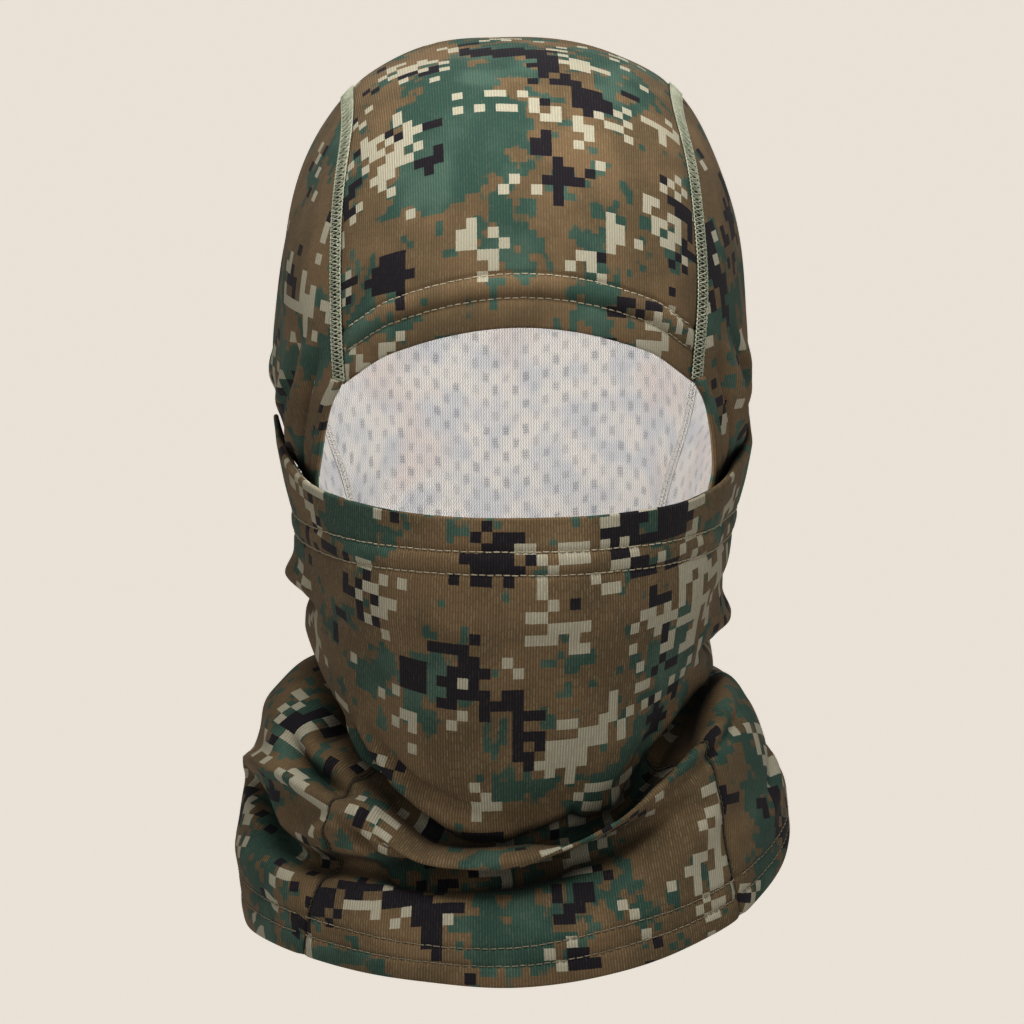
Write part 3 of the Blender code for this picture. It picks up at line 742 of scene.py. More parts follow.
class Shader:
    """A small writer of shader nodes, for a material or the world."""

    def __init__(self, owner):
        self.owner = owner
        owner.use_nodes = True
        self.tree = owner.node_tree

    def plug(self, socket, value):
        if isinstance(value, bpy.types.NodeSocket):
            self.tree.links.new(value, socket)
        elif value is not None:
            socket.default_value = value

    def node(self, kind, inputs=None, **settings):
        item = self.tree.nodes.new(kind)
        for key, value in settings.items():
            setattr(item, key, value)
        for key, value in (inputs or {}).items():
            self.plug(item.inputs[key], value)
        return item

    def math(self, operation, a, b=None, c=None):
        return self.node("ShaderNodeMath", {0: a, 1: b, 2: c}, operation=operation).outputs[0]

    def plus(self, a, b):
        return self.math("ADD", a, b)

    def times(self, a, b):
        return self.math("MULTIPLY", a, b)

    def linear(self, value, slope, base):
        return self.math("MULTIPLY_ADD", value, slope, base)

    def stripe(self, value):
        """0 at every whole number and 0.5 halfway between them."""
        return self.math("PINGPONG", value, 0.5)

    def join(self, x, y=None):
        return self.node("ShaderNodeCombineXYZ", {0: x, 1: y}).outputs[0]

    def vector(self, operation, a, b=None, scale=None):
        item = self.node("ShaderNodeVectorMath", {0: a, 1: b}, operation=operation)
        if scale is not None:
            item.inputs["Scale"].default_value = scale
        name = "Value" if operation in ("DISTANCE", "LENGTH", "DOT_PRODUCT") else "Vector"
        return item.outputs[name]

    def ramp(self, value, low, high):
        inputs = {"Value": value, "From Min": low, "From Max": high}
        return self.node("ShaderNodeMapRange", inputs, interpolation_type="SMOOTHSTEP").outputs[0]

    def mix(self, factor, a, b, blend="MIX"):
        item = self.node("ShaderNodeMix", {0: factor}, data_type="RGBA", blend_type=blend)
        for index, value in ((6, a), (7, b)):
            if isinstance(value, tuple):
                value = (*value, 1.0)
            self.plug(item.inputs[index], value)
        return item.outputs[2]

    def shaded(self, colour, light):
        """A colour made darker by a light value from 0 to 1."""
        grey = self.node("ShaderNodeCombineColor", {0: light, 1: light, 2: light}).outputs[0]
        return self.mix(1.0, colour, grey, "MULTIPLY")

    def noise(self, where, scale, detail=0.0, roughness=0.5):
        inputs = {"Vector": where, "Scale": scale, "Detail": detail, "Roughness": roughness}
        return self.node("ShaderNodeTexNoise", inputs, noise_dimensions="3D").outputs["Fac"]

    def white(self, where):
        return self.node("ShaderNodeTexWhiteNoise", {"Vector": where}, noise_dimensions="3D").outputs["Value"]

    def cloth(self):
        """Cloth coordinates in millimetres."""
        uv = self.node("ShaderNodeUVMap", uv_map="cloth").outputs[0]
        return self.vector("SCALE", uv, scale=1000.0)

    def finish(self, colour, roughness, bump=None, strength=0.5, distance=0.0003, sheen=0.0):
        surface = self.tree.nodes["Principled BSDF"].inputs
        self.plug(surface["Base Color"], colour)
        self.plug(surface["Roughness"], roughness)
        surface["Specular IOR Level"].default_value = 0.12
        surface["Sheen Weight"].default_value = sheen
        surface["Sheen Roughness"].default_value = 0.6
        if bump is not None:
            inputs = {"Height": bump, "Strength": strength, "Distance": distance}
            self.plug(surface["Normal"], self.node("ShaderNodeBump", inputs).outputs[0])
        return self.owner


def new_shader(name):
    return Shader(bpy.data.materials.new(name))


BROWN = (0.140, 0.093, 0.046)
BROWN_WARM = (0.205, 0.130, 0.064)
GREEN = (0.036, 0.082, 0.060)
GREEN_LIGHT = (0.072, 0.135, 0.098)
DARK = (0.015, 0.012, 0.016)
BEIGE = (0.520, 0.475, 0.345)
GLINT = (0.360, 0.280, 0.155)
LINING_PALE = (0.680, 0.650, 0.610)
LINING_BLUE = (0.560, 0.562, 0.572)
LINING_PINK = (0.640, 0.540, 0.500)
LINING_DOT = (0.200, 0.205, 0.240)
CAMO_CELL = 4.0
FUZZ_CELL = 2.9


def snapped(shader, where, size):
    """The middle of the printed square that each point is in."""
    cell = shader.vector("SNAP", where, (size, size, size))
    return shader.vector("ADD", cell, (size / 2, size / 2, 0.0))


def bias(shader, where, blobs):
    """Sum of soft spots (u, v, radius, weight), in millimetres of cloth."""
    total = None
    for u, v, radius, weight in blobs:
        distance = shader.vector("DISTANCE", where, (u, v, 0.0))
        spot = shader.ramp(distance, radius, radius * 0.35)
        spot = shader.times(spot, weight)
        total = spot if total is None else shader.plus(total, spot)
    return 0.0 if total is None else total


def knit(shader, where, wale, course):
    """Height of the knitted wales, and the upright loops of each that catch the light."""
    split = shader.node("ShaderNodeSeparateXYZ", {0: where}).outputs
    u = shader.math("DIVIDE", split[0], wale)
    v = shader.math("DIVIDE", split[1], course)
    wale_number = shader.math("FLOOR", u)
    v = shader.plus(v, shader.white(shader.join(wale_number)))
    loop = shader.join(wale_number, shader.math("FLOOR", v))
    across = shader.ramp(shader.stripe(u), 0.10, 0.42)
    down = shader.ramp(shader.stripe(v), 0.03, 0.20)
    ridge = shader.times(across, shader.linear(down, 0.35, 0.65))
    bright = shader.math("POWER", shader.white(loop), 2.0)
    return ridge, shader.times(shader.times(across, down), bright)


def camo_material(name, seed, knit_depth=0.35, green=(), dark=(), beige=(), levels=(0.0, 0.0, 0.0)):
    """Printed pixel camouflage on a mesh knit, with painted shade along the knit's wales, painted glints on
    its loops and painted shade in creases.
    """
    shader = new_shader(name)
    cloth = shader.cloth()
    # threads wander a little, so that the print's edges aren't ruled
    wander = shader.noise(cloth, 2.2, 1.0)
    wander = shader.linear(wander, 0.5, -0.25)
    printed = shader.vector("ADD", cloth, shader.join(wander, wander))
    cell = snapped(shader, printed, CAMO_CELL)
    shifted = shader.vector("ADD", cell, (seed * 131.0, seed * 57.0, seed * 17.0))
    fuzz = snapped(shader, printed, FUZZ_CELL)
    fuzz = shader.node("ShaderNodeMix", {0: 0.30, 4: fuzz, 5: cloth}, data_type="VECTOR").outputs[1]
    soft = shader.vector("ADD", fuzz, (seed * 71.0 + 9.0, seed * 23.0, 5.0))

    base = shader.noise(soft, 1 / 34, 2.2, 0.55)
    small = shader.noise(soft, 1 / 7.5, 1.0)
    value = shader.linear(small, 0.62, base)
    value = shader.linear(shader.white(snapped(shader, printed, FUZZ_CELL)), 0.07, value)
    value = shader.plus(value, bias(shader, fuzz, green))
    green_mask = shader.ramp(value, 0.875 - levels[0], 0.905 - levels[0])

    region = shader.noise(shifted, 1 / 25, 0.0)
    shape = shader.noise(shifted, 1 / 6.5, 1.0)
    value = shader.linear(region, 0.80, shader.times(shape, 0.65))
    value = shader.linear(shader.white(shifted), 0.13, value)
    value = shader.plus(value, bias(shader, cell, dark))
    dark_mask = shader.math("GREATER_THAN", value, 0.975 - levels[1])

    shifted = shader.vector("ADD", shifted, (311.0, 77.0, 4.0))
    region = shader.noise(shifted, 1 / 25, 0.5)
    chain = shader.noise(shader.vector("MULTIPLY", shifted, (1.0, 1.15, 1.0)), 1 / 6.2, 0.8)
    chain = shader.math("ABSOLUTE", shader.math("SUBTRACT", chain, 0.5))
    value = shader.linear(chain, -2.0, region)
    value = shader.linear(shader.white(shifted), 0.15, value)
    value = shader.plus(value, bias(shader, cell, beige))
    beige_mask = shader.math("GREATER_THAN", value, 0.610 - levels[2])

    tone = shader.noise(shader.vector("ADD", cloth, (seed * 11.0, 3.0, 8.0)), 1 / 22, 2.0)
    brown = shader.mix(shader.ramp(tone, 0.38, 0.66), BROWN, BROWN_WARM)
    greens = shader.mix(shader.ramp(tone, 0.42, 0.70), GREEN, GREEN_LIGHT)
    colour = shader.mix(green_mask, brown, greens)
    colour = shader.mix(beige_mask, colour, BEIGE)
    colour = shader.mix(dark_mask, colour, DARK)

    ridge, loop = knit(shader, cloth, 1.05, 3.4)
    yarn = shader.noise(shader.vector("MULTIPLY", cloth, (3.2, 1.3, 1.0)), 1.0, 2.0, 0.7)
    light = shader.linear(ridge, knit_depth, 1.0 - knit_depth * 0.45)
    light = shader.times(light, shader.linear(yarn, 0.5, 0.75))
    colour = shader.shaded(colour, light)
    glint = shader.times(loop, shader.linear(yarn, 0.8, 0.3))
    plain = shader.linear(green_mask, -0.65, 1.0)
    plain = shader.times(plain, shader.linear(dark_mask, -0.88, 1.0))
    glint = shader.times(glint, shader.times(plain, knit_depth * 1.3))
    colour = shader.mix(glint, colour, GLINT)
    # painted shade: an ambient occlusion node darkens the cloth's colour inside creases
    open_sky = shader.node("ShaderNodeAmbientOcclusion", {"Distance": 0.016}, samples=6).outputs["AO"]
    painted_crease_shade = shader.linear(shader.ramp(open_sky, 0.28, 0.88), 0.86, 0.14)
    colour = shader.shaded(colour, painted_crease_shade)

    height = shader.linear(yarn, 0.35, ridge)
    roughness = shader.linear(ridge, -0.08, 0.88)
    return shader.finish(colour, roughness, height, 0.55, 0.00030, 0.02)


def lining_material():
    """Unprinted back of the knit: fine ribs, staggered tuck dots, and the print showing through faintly."""
    shader = new_shader("knit_lining")
    cloth = shader.cloth()
    place = shader.node("ShaderNodeSeparateXYZ", {0: cloth}).outputs
    zigzag = shader.stripe(shader.math("DIVIDE", place[1], 1.5))
    rib = shader.linear(zigzag, 0.9, shader.math("DIVIDE", place[0], 1.0))
    ridge = shader.ramp(shader.stripe(rib), 0.04, 0.36)
    yarn = shader.noise(shader.vector("MULTIPLY", cloth, (2.6, 1.1, 1.0)), 1.0, 2.0, 0.7)
    through = shader.noise(cloth, 1 / 14, 1.5)
    colour = shader.mix(shader.ramp(through, 0.40, 0.64), LINING_PALE, LINING_BLUE)
    pink = shader.noise(shader.vector("ADD", cloth, (50.0, 20.0, 9.0)), 1 / 24, 1.0)
    colour = shader.mix(shader.times(shader.ramp(pink, 0.50, 0.68), 0.5), colour, LINING_PINK)
    sway = shader.noise(cloth, 1 / 5, 1.0)
    u = shader.linear(sway, 0.42, shader.math("DIVIDE", place[0], 3.8))
    v = shader.linear(sway, 0.30, shader.math("DIVIDE", place[1], 10.0))
    column = shader.math("FLOOR", u)
    v = shader.linear(shader.math("FLOORED_MODULO", column, 2.0), 0.5, v)
    spot = shader.join(column, shader.math("FLOOR", v))
    across = shader.ramp(shader.stripe(shader.math("FRACT", u)), 0.10, 0.30)
    down = shader.ramp(shader.stripe(shader.math("FRACT", v)), 0.24, 0.42)
    dash = shader.ramp(shader.stripe(shader.math("DIVIDE", place[1], 0.98)), 0.08, 0.34)
    dot = shader.times(shader.times(across, down), shader.linear(dash, 0.6, 0.4))
    dot = shader.times(dot, shader.linear(shader.white(spot), 0.7, 0.3))
    colour = shader.mix(shader.times(dot, 0.68), colour, LINING_DOT)
    light = shader.linear(ridge, 0.50, 0.68)
    light = shader.times(light, shader.linear(yarn, 0.40, 0.80))
    colour = shader.shaded(colour, light)
    height = shader.math("SUBTRACT", shader.linear(yarn, 0.4, ridge), dot)
    return shader.finish(colour, 0.9, height, 0.6, 0.00030, 0.1)


def thread_material(name, light, dark, scale):
    """Twisted thread: two tones in fine slanting plies."""
    shader = new_shader(name)
    where = shader.node("ShaderNodeTexCoord").outputs["Object"]
    where = shader.vector("SCALE", where, scale=1000.0)
    ply = shader.noise(shader.vector("MULTIPLY", where, (1.0, 1.0, 1.6)), scale, 2.0, 0.6)
    slow = shader.noise(where, 0.12, 1.0)
    blend = shader.linear(slow, 0.5, shader.times(ply, 0.75))
    colour = shader.mix(shader.ramp(blend, 0.38, 0.82), dark, light)
    return shader.finish(colour, 0.72, ply, 0.5, 0.00010, 0.1)


def elastic_material():
    shader = new_shader("woven_elastic")
    where = shader.node("ShaderNodeTexCoord").outputs["Object"]
    where = shader.vector("SCALE", where, scale=1000.0)
    inputs = {"Vector": where, "Scale": 0.9, "Distortion": 0.4}
    weave = shader.node("ShaderNodeTexWave", inputs).outputs["Fac"]
    colour = shader.mix(weave, (0.48, 0.46, 0.43), (0.66, 0.64, 0.61))
    return shader.finish(colour, 0.8, weave, 0.4, 0.0002)


CAMO = {
    "crown": camo_material(
        "camo_crown",
        1.0,
        0.24,
        green=(
            (-18, 72, 34, 0.20), (-6, 100, 30, 0.16), (-34, 58, 20, 0.10), (10, 38, 26, 0.10),
            (0, 126, 26, 0.10),
        ),
        dark=(
            (-50, 88, 12, 0.20), (-50, 22, 16, 0.20), (34, 86, 18, 0.32), (8, 72, 9, 0.18),
            (10, 8, 10, 0.20),
        ),
        beige=(
            (-34, 84, 20, 0.12), (-42, 122, 16, 0.10), (54, 92, 14, 0.14), (57, 48, 15, 0.18),
            (2, 56, 30, -0.14),
        ),
        levels=(0.0, -0.01, 0.012),
    ),
    "left": camo_material("camo_left_side", 2.0, 0.30, levels=(0.0, 0.02, 0.015)),
    "right": camo_material("camo_right_side", 3.0, 0.30, levels=(0.0, 0.02, 0.015)),
    "cape": camo_material("camo_front_cape", 4.0, 0.40, levels=(-0.01, 0.0, 0.035)),
    "cover": camo_material(
        "camo_face_cover",
        5.0,
        0.50,
        green=(
            (44, -26, 22, 0.14), (-62, -16, 16, 0.10), (0, -101, 15, 0.14), (62, -62, 16, 0.10),
            (-4, -66, 34, -0.16),
        ),
        dark=(
            (-4, -14, 15, 0.20), (-2, -76, 22, 0.30), (-44, -56, 10, 0.18), (62, -4, 12, 0.20),
            (58, -88, 12, 0.14),
        ),
        beige=(
            (-56, -4, 14, 0.10), (-62, -34, 18, 0.12), (4, -34, 14, 0.10), (42, -56, 15, 0.06),
            (-14, -78, 30, -0.18), (32, -94, 20, -0.12),
        ),
        levels=(-0.02, -0.01, 0.035),
    ),
}
LINING = lining_material()
STITCH = thread_material("stitch_thread", (0.58, 0.50, 0.35), (0.34, 0.28, 0.17), 2.0)
OLIVE_STITCH = thread_material("olive_stitch_thread", (0.11, 0.095, 0.06), (0.05, 0.042, 0.025), 2.0)
SAGE = thread_material("sage_thread", (0.56, 0.57, 0.41), (0.30, 0.33, 0.22), 1.1)
# painted shadow: the dark strip under the flatlock threads, partly the seam allowance's own dark cloth
SEAM_SHADOW_CLOTH = thread_material("seam_allowance_and_shadow", (0.060, 0.056, 0.036), (0.022, 0.022, 0.016), 0.9)
PALE_THREAD = thread_material("pale_looper_thread", (0.70, 0.67, 0.63), (0.60, 0.58, 0.55), 1.4)
HEM_STITCH = thread_material("hem_stitch_thread", (0.36, 0.31, 0.21), (0.20, 0.165, 0.10), 2.0)
ELASTIC = elastic_material()

# Hood ---------------------------------------------------------------------------------------------


def seam_fade(edge_distance):
    """Cloth dips towards a flatlock seam."""
    return -0.0005 * np.exp(-((edge_distance / 0.0028) ** 2))


def brow_relief(rise, x):
    """Relief of the brow hem: grooves at the stitched rows and the elastic's soft roll between them."""
    low, high = BROW_ROWS
    ends = smoothstep(1.0, 0.86, np.abs(x) / float(seam_spacing(10.0)))
    roll = 0.0017 * np.clip(np.sin(np.pi * np.clip((rise - low) / (high - low), 0, 1)), 0, 1) ** 0.8
    hem = 0.0005 * np.clip(np.sin(np.pi * np.clip(rise / low, 0, 1)), 0, 1)
    grooves = sum(np.exp(-(((rise - row) / 0.0011) ** 2)) for row in BROW_ROWS)
    return (roll + hem) * ends - 0.0006 * grooves


def crown_rows():
    """Rows of the crown cloth from the brow edge over the top and down the back to the hem."""
    fraction = spread(-1.0, 1.0, 65)[None, :]
    part = np.concatenate([spread(0.0, 0.078, 40), spread(0.078, 1.0, 150)[1:]])[:, None]
    start = brow_angle(fraction * (float(seam_spacing(10.0)) - SEAM_GAP))
    angle = start + part * (180.0 - start)
    x = fraction * (seam_spacing(angle) - SEAM_GAP)
    base, _ = crown(x, angle)
    rise = base[..., 2] - brow_height(x)
    front = angle < 80
    relief = np.where(front, brow_relief(np.minimum(rise, 0.03), x), 0.0)
    edge = (1 - np.abs(fraction)) * seam_spacing(angle)
    dome, dome_normal = on_crown(x, angle, relief + seam_fade(edge))
    level = hood_levels(DOME_BASE - 0.0018)[:, None]
    half = math.pi - seam_angle(level, True, -SEAM_GAP)
    relief = seam_fade((1 - np.abs(fraction)) * 0.05) + hem_relief(level)
    ring_rows, ring_normal = on_hood(math.pi - fraction * half, level, relief)
    return np.concatenate([dome, ring_rows]), np.concatenate([dome_normal, ring_normal]), angle


def crown_uv(whole, edge, angle):
    """Cloth coordinates of the crown: its courses run straight across, from the brow to the hem."""
    middle = whole.shape[1] // 2
    uv = measured_uv(whole, edge, middle)
    path = spread(0.0, 180.0, 500)
    line, _ = crown(0 * path, path)
    length = np.concatenate([[0.0], np.linalg.norm(np.diff(line, axis=0), axis=1).cumsum()])
    rise = np.interp(angle, path, length)
    last = edge + len(angle)
    own = -uv[..., 1]
    own[:edge] += rise[0] - own[edge]
    own[last:] += rise[-1] - own[last - 1]
    own[edge:last] = rise
    uv[..., 1] = own - rise[0, middle]
    return uv


def hood_levels(top):
    head = spread(top, NECK_LEVEL, int((top - NECK_LEVEL) / STEP))
    return np.concatenate([head, cape_levels(NECK_LEVEL)[1:]])


def cape_levels(top):
    """Levels down the cape, closer together at the stitched hem."""
    join = HEM_LEVEL + 0.0230
    return np.concatenate([spread(top, join, 54), spread(join, HEM_LEVEL, 31)[1:]])


def hemmed(point, normal):
    """A grid whose last row is turned in as the cape's hem."""
    turned = turned_edge(point[::-1], normal[::-1], 8)
    return np.concatenate([point, turned[::-1]])


def hem_relief(level):
    """Slight roll of the stitched hem of the cape."""
    rise = (level - HEM_LEVEL) * CAPE_LENGTH / (NECK_LEVEL - HEM_LEVEL)
    grooves = sum(np.exp(-(((rise - row) / 0.0011) ** 2)) for row in HEM_ROWS)
    roll = np.sin(np.pi * np.clip(rise / HEM_ROWS[0], 0, 1))
    return 0.0004 * roll - 0.0005 * grooves


CAPE_LENGTH = 0.090      # mean length of the cape's cloth from neckline to hem


def build_crown():
    point, normal, angle = crown_rows()
    brow = turned_edge(point, normal, 20)
    whole = hemmed(point, normal)
    whole = np.concatenate([brow, whole])
    uv = crown_uv(whole, len(brow), angle)
    item = add_cloth("crown_cloth", whole, uv, CAMO["crown"], ["crown_panel", "brow_hem_facing"])


def side_levels():
    low, high = DOME_BASE, CROWN_TOP
    for _ in range(40):
        middle = (low + high) / 2
        wide = float(hood_reach(np.array(middle))[0]) > float(seam_spacing(90.0)) + SEAM_GAP
        low, high = (middle, high) if wide else (low, middle)
    top = math.asin((low - 0.0004 - DOME_BASE) / (CROWN_TOP - DOME_BASE))
    dome = DOME_BASE + (CROWN_TOP - DOME_BASE) * np.sin(spread(top, 0.0, DOME_ROWS))
    return np.concatenate([dome, hood_levels(DOME_BASE - 0.0018)])


def side_front_angle(level):
    along_seam = seam_angle(level, False, SEAM_GAP)
    along_opening = opening_angle(np.maximum(level, NECK_LEVEL))
    join = smoothstep(NECK_LEVEL + 0.004, NECK_LEVEL, level)
    lower = along_opening + join * (cape_seam_angle(level) + 0.0004 - along_opening)
    return np.where(level > BROW_END, along_seam, lower)


def build_side(name, side, material, nodes):
    level = side_levels()[:, None]
    front = side_front_angle(level)
    back = seam_angle(level, True, SEAM_GAP)
    fraction = spread(0.0, 1.0, 104)[None, :]
    angle = side * (front + fraction * (back - front))
    near = np.minimum(np.abs(angle) - front, back - np.abs(angle)) * 0.09
    dip = np.where((level > BROW_END) | (np.abs(angle) > 1.6), seam_fade(near), 0.0)
    dip = np.where((level < NECK_LEVEL) & (np.abs(angle) < 1.6), cape_seam_dip(np.abs(angle) - front), dip)
    point, normal = on_hood(angle, level, dip + hem_relief(level))
    whole = hemmed(point, normal)
    uv = relaxed_uv(whole, DOME_ROWS)
    if side > 0:
        uv[..., 0] *= -1
    item = add_cloth(name, whole, uv, material, nodes)


BROW_END = float(brow_height(seam_spacing(10.0)))


def cape_seam_dip(turn):
    """The groove of the sewn seam between the cape's panels, by ring angle from the seam."""
    return -0.0013 * np.exp(-((np.abs(turn) * 0.1 / 0.0020) ** 2))


def build_opening_edge(name, side, material, nodes):
    """The narrow rolled border along the side of the face opening."""
    level = spread(BROW_END + 0.001, NECK_LEVEL + 0.018, 56)[:, None]
    start = opening_angle(level)
    outer, normal = on_hood(side * (start + spread(0.0, 0.040, 5)[None, :]), level, 0.0006)
    columns = outer.transpose(1, 0, 2)
    turned = turned_edge(columns, normal.transpose(1, 0, 2), 4, 0.0013, 7)
    whole = np.concatenate([turned, columns]).transpose(1, 0, 2)
    uv = measured_uv(whole, 30, 6)
    item = add_cloth(name, whole, uv, material, nodes)


def build_front_cape():
    level = np.concatenate([spread(NECK_LEVEL + 0.003, NECK_LEVEL, 4)[:-1], cape_levels(NECK_LEVEL)])[:, None]
    edge = cape_seam_angle(level) - 0.0004
    angle = edge * spread(-1.0, 1.0, 121)[None, :]
    relief = hem_relief(level) + cape_seam_dip(edge - np.abs(angle))
    point, normal = on_hood(angle, level, relief)
    whole = hemmed(point, normal)
    uv = relaxed_uv(whole, len(level) - 1)
    nodes = ["front_cape_panel", "front_hem_facing"]
    item = add_cloth("front_cape_cloth", whole, uv, CAMO["cape"], nodes)


# Face cover ---------------------------------------------------------------------------------------


def cover_relief(level):
    grooves = sum(np.exp(-(((level - row) / 0.0011) ** 2)) for row in COVER_ROWS)
    high, low = COVER_ROWS
    puff = 0.0006 * np.sin(np.pi * np.clip((level - low) / (high - low), 0.0, 1.0))
    return puff - 0.0006 * grooves


def cover_hang(point, level):
    """The cover's gathered lower part hangs unevenly over the neckline."""
    azimuth = np.degrees(np.arctan2(point[..., 0], -point[..., 1]))
    hang = curve(COVER_HANG, azimuth)[..., 0] / 1000
    part = smoothstep(NECK_LEVEL + 0.020, NECK_LEVEL, level)
    return point - np.stack([0 * hang, 0 * hang, hang * part], -1)


def build_cover():
    angle = spread(-COVER_SIDE_ANGLE, COVER_SIDE_ANGLE, 200)[None, :]
    top = cover_top(angle)
    first = COVER_ROWS[1] - 0.004
    upper = top + spread(0.0, 1.0, 34)[:, None] * (first - top)
    lower = spread(first, NECK_LEVEL + 0.0006, 70)[1:, None] + 0 * angle
    level = np.concatenate([upper, lower])
    angle = angle + 0 * level
    point, normal = on_cover(angle, level, cover_relief(level))
    point = cover_hang(point, level)
    wide = np.abs(angle[0])
    radius = HEM_TURN + 0.0009 * smoothstep(0.80, 1.20, wide) * smoothstep(1.55, 1.30, wide)
    edge = turned_edge(point, normal, 20, radius, 8)
    last = point[-1]
    flat = unit(last * (1.0, 1.0, 0.0))
    tucks = ((0.003, 0.0016), (0.008, 0.0016), (0.013, 0.000))
    tuck = [last - flat * deep - (0.0, 0.0, drop) for deep, drop in tucks]
    whole = np.concatenate([edge, point, tuck])
    uv = relaxed_uv(whole, len(edge))
    nodes = ["face_cover_panel", "face_cover_band", "face_cover_hem_facing"]
    item = add_cloth("face_cover_cloth", whole, uv, CAMO["cover"], nodes, body=None)
    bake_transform(item)


# Seams and stitching ------------------------------------------------------------------------------


def build_flatlocks():
    start = float(brow_angle(seam_spacing(10.0), 0.0005))
    angle = spread(start, 180.0, 240)
    level = hood_levels(DOME_BASE - 0.0018)
    level = level[level > HEM_LEVEL + 0.001]
    relief = seam_fade(0.0) + hem_relief(level)
    for name, side in SIDES:
        upper, upper_normal = on_crown(side * seam_spacing(angle), angle, seam_fade(0.0))
        lower, lower_normal = on_hood(side * seam_angle(level, True, 0.0), level, relief)
        line = np.concatenate([upper, lower])
        normal = np.concatenate([upper_normal, lower_normal])
        flatlock(name + "_flatlock_threads", line, normal, SAGE, name + "_flatlock_seam", 0.0058, 0.0003)
        head = line[:, 2] > NECK_LEVEL
        back, away = line[head], -normal[head]
        node = name + "_flatlock_looper"
        flatlock(name + "_looper_threads", back, away, PALE_THREAD, node, 0.0044, CLOTH + 0.0001, inside=True)


def build_stitching():
    x = spread(-0.96, 0.96, 160) * float(seam_spacing(10.0))
    for name, rise in zip(("lower", "upper"), BROW_ROWS):
        path = on_crown(x, brow_angle(x, rise), brow_relief(np.full(x.shape, rise), x))
        topstitch(f"brow_{name}_topstitch", path, STITCH, f"brow_{name}_stitch_row")
    angle = spread(-0.97, 0.97, 300) * COVER_SIDE_ANGLE
    for name, row in zip(("upper", "lower"), COVER_ROWS):
        level = np.full(angle.shape, row)
        path = on_cover(angle, level, cover_relief(level))
        topstitch(f"face_cover_{name}_topstitch", path, STITCH, f"face_cover_{name}_stitch_row", "face_cover")
    edge = CAPE_SEAM_HEM_ANGLE - 0.02
    for name, rise in zip(("lower", "upper"), HEM_ROWS):
        for place, start, end in (("front", -edge, edge), ("back", edge + 0.04, 2 * math.pi - edge - 0.04)):
            angle = spread(start, end, 500)
            level = np.full(angle.shape, HEM_LEVEL + rise * (NECK_LEVEL - HEM_LEVEL) / CAPE_LENGTH)
            path = on_hood(angle, level, hem_relief(level))
            name_here = f"{place}_hem_{name}"
            topstitch(name_here + "_topstitch", path, HEM_STITCH, name_here + "_stitch_row", radius=0.00022)
    seam = spread(NECK_LEVEL - 0.004, HEM_LEVEL + 0.016, 120)
    overlock = spread(-0.008, -0.070, 120)
    for name, side in SIDES:
        path = on_hood(side * cape_seam_angle(seam), seam, -0.0011)
        threads = name + "_cape_seam_threads"
        topstitch(threads, path, OLIVE_STITCH, name + "_cape_seam", "hood", 0.0022, 0.0019, 0.0002)
        path = on_hood(side * (COVER_SIDE_ANGLE + 0.014), overlock, 0.0004)
        threads = name + "_cover_side_threads"
        topstitch(threads, path, OLIVE_STITCH, name + "_cover_side_seam", "hood", 0.0018, 0.0016, 0.0003)


# Studio -------------------------------------------------------------------------------------------

BACKDROP = (0.815, 0.752, 0.672)
LOOK_AT = (0.0, 0.0, -0.0310)
CAMERA_DISTANCE = 5.0
CAMERA_AZIMUTH = math.radians(-2.0)
CAMERA_ELEVATION = math.radians(10.0)
FRAME_HEIGHT = 0.379
SENSOR = 36.0
FLOOR_REACH = 40
FLOOR_LEVEL = -1.2
SUN_ELEVATION = math.radians(12.0)
SUN_AZIMUTH = math.radians(2.0)
AREA_LIGHTS = (
    # name, power, size, place, aim
    ("key", 2.42, 0.30, (-0.01, -0.24, 0.50), (0.0, -0.02, 0.0)),
    ("back", 1.1, 0.60, (0.0, 0.80, 0.62), (0.0, 0.02, 0.0)),
    ("inner", 0.19, 0.10, (0.0, -0.070, 0.028), (0.0, 0.10, 0.035)),
)


def build_camera():
    data = bpy.data.cameras.new("camera")
    data.sensor_width = SENSOR
    data.lens = SENSOR * CAMERA_DISTANCE / FRAME_HEIGHT
    item = bpy.data.objects.new("camera", data)
    bpy.context.scene.collection.objects.link(item)
    flat = CAMERA_DISTANCE * math.cos(CAMERA_ELEVATION)
    item.location = (
        LOOK_AT[0] + flat * math.sin(CAMERA_AZIMUTH),
        LOOK_AT[1] - flat * math.cos(CAMERA_AZIMUTH),
        LOOK_AT[2] + CAMERA_DISTANCE * math.sin(CAMERA_ELEVATION),
    )
    item.rotation_euler = (math.pi / 2 - CAMERA_ELEVATION, 0.0, CAMERA_AZIMUTH)
    bpy.context.scene.camera = item


def add_light(name, kind, power, turn):
    data = bpy.data.lights.new(name, kind)
    data.energy = power
    item = bpy.data.objects.new(name, data)
    item.rotation_euler = turn
    bpy.context.scene.collection.objects.link(item)
    return item


def build_lights():
    for name, power, size, place, aim in AREA_LIGHTS:
        away = Vector(place) - Vector(aim)
        item = add_light(name, "AREA", power, away.to_track_quat("Z", "Y").to_euler())
        item.data.size = size
        item.location = place
        item.visible_camera = False
    sun = add_light("fill", "SUN", 0.52, (math.pi / 2 - SUN_ELEVATION, 0.0, SUN_AZIMUTH))
    sun.data.angle = math.radians(45.0)


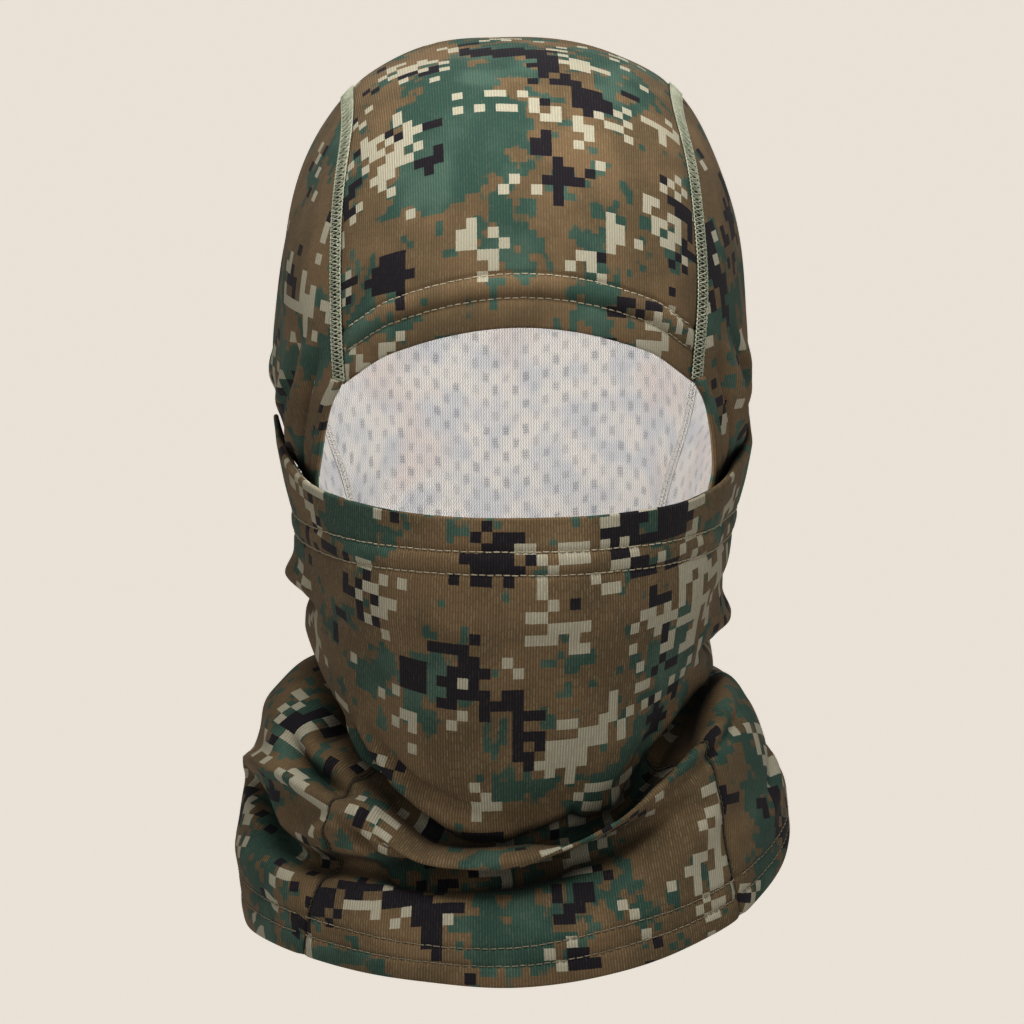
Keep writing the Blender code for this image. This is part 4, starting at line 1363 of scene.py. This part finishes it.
def build_floor():
    signs = ((-1, -1), (1, -1), (1, 1), (-1, 1))
    corners = [(x * FLOOR_REACH, y * FLOOR_REACH, FLOOR_LEVEL) for x, y in signs]
    floor = add_mesh("floor", corners, [(0, 1, 2, 3)])
    material = new_shader("studio_floor").finish((0.800, 0.738, 0.662, 1.0), 0.95)
    floor.data.materials.append(material)
    surface = material.node_tree.nodes["Principled BSDF"].inputs
    surface["Emission Color"].default_value = (0.676, 0.625, 0.561, 1.0)
    surface["Emission Strength"].default_value = 1.0
    floor.visible_diffuse = False


def build_world():
    """The backdrop's colour for the camera, and light from below and from above for the cloth."""
    world = bpy.data.worlds.new("studio")
    bpy.context.scene.world = world
    shader = Shader(world)
    background = shader.tree.nodes["Background"]
    background.inputs["Color"].default_value = (*BACKDROP, 1.0)
    ambient = shader.node("ShaderNodeBackground", {"Color": (1.0, 0.98, 0.95, 1.0)})
    where = shader.node("ShaderNodeTexCoord").outputs["Generated"]
    height = shader.node("ShaderNodeSeparateXYZ", {0: where}).outputs["Z"]
    inputs = {"Value": height, "From Min": -0.6, "From Max": 0.6, "To Min": 0.34, "To Max": 0.13}
    shader.plug(ambient.inputs["Strength"], shader.node("ShaderNodeMapRange", inputs).outputs[0])
    camera_ray = shader.node("ShaderNodeLightPath").outputs["Is Camera Ray"]
    inputs = {0: camera_ray, 1: ambient.outputs[0], 2: background.outputs[0]}
    choose = shader.node("ShaderNodeMixShader", inputs)
    shader.plug(shader.tree.nodes["World Output"].inputs["Surface"], choose.outputs[0])


# Assembly -----------------------------------------------------------------------------------------

build_camera()
build_crown()
build_side("left_side_cloth", 1, CAMO["left"], ["left_side_panel", "back_hem_facing"])
build_side("right_side_cloth", -1, CAMO["right"], ["right_side_panel"])
for name, side in SIDES:
    build_opening_edge(name + "_opening_edge", side, CAMO[name], [name + "_opening_facing"])
build_front_cape()
build_cover()
build_flatlocks()
build_stitching()
build_floor()
build_world()
build_lights()
bpy.context.scene.view_settings.view_transform = "Standard"

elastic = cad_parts["brow_elastic"]
elastic.data.materials.clear()
elastic.data.materials.append(ELASTIC)
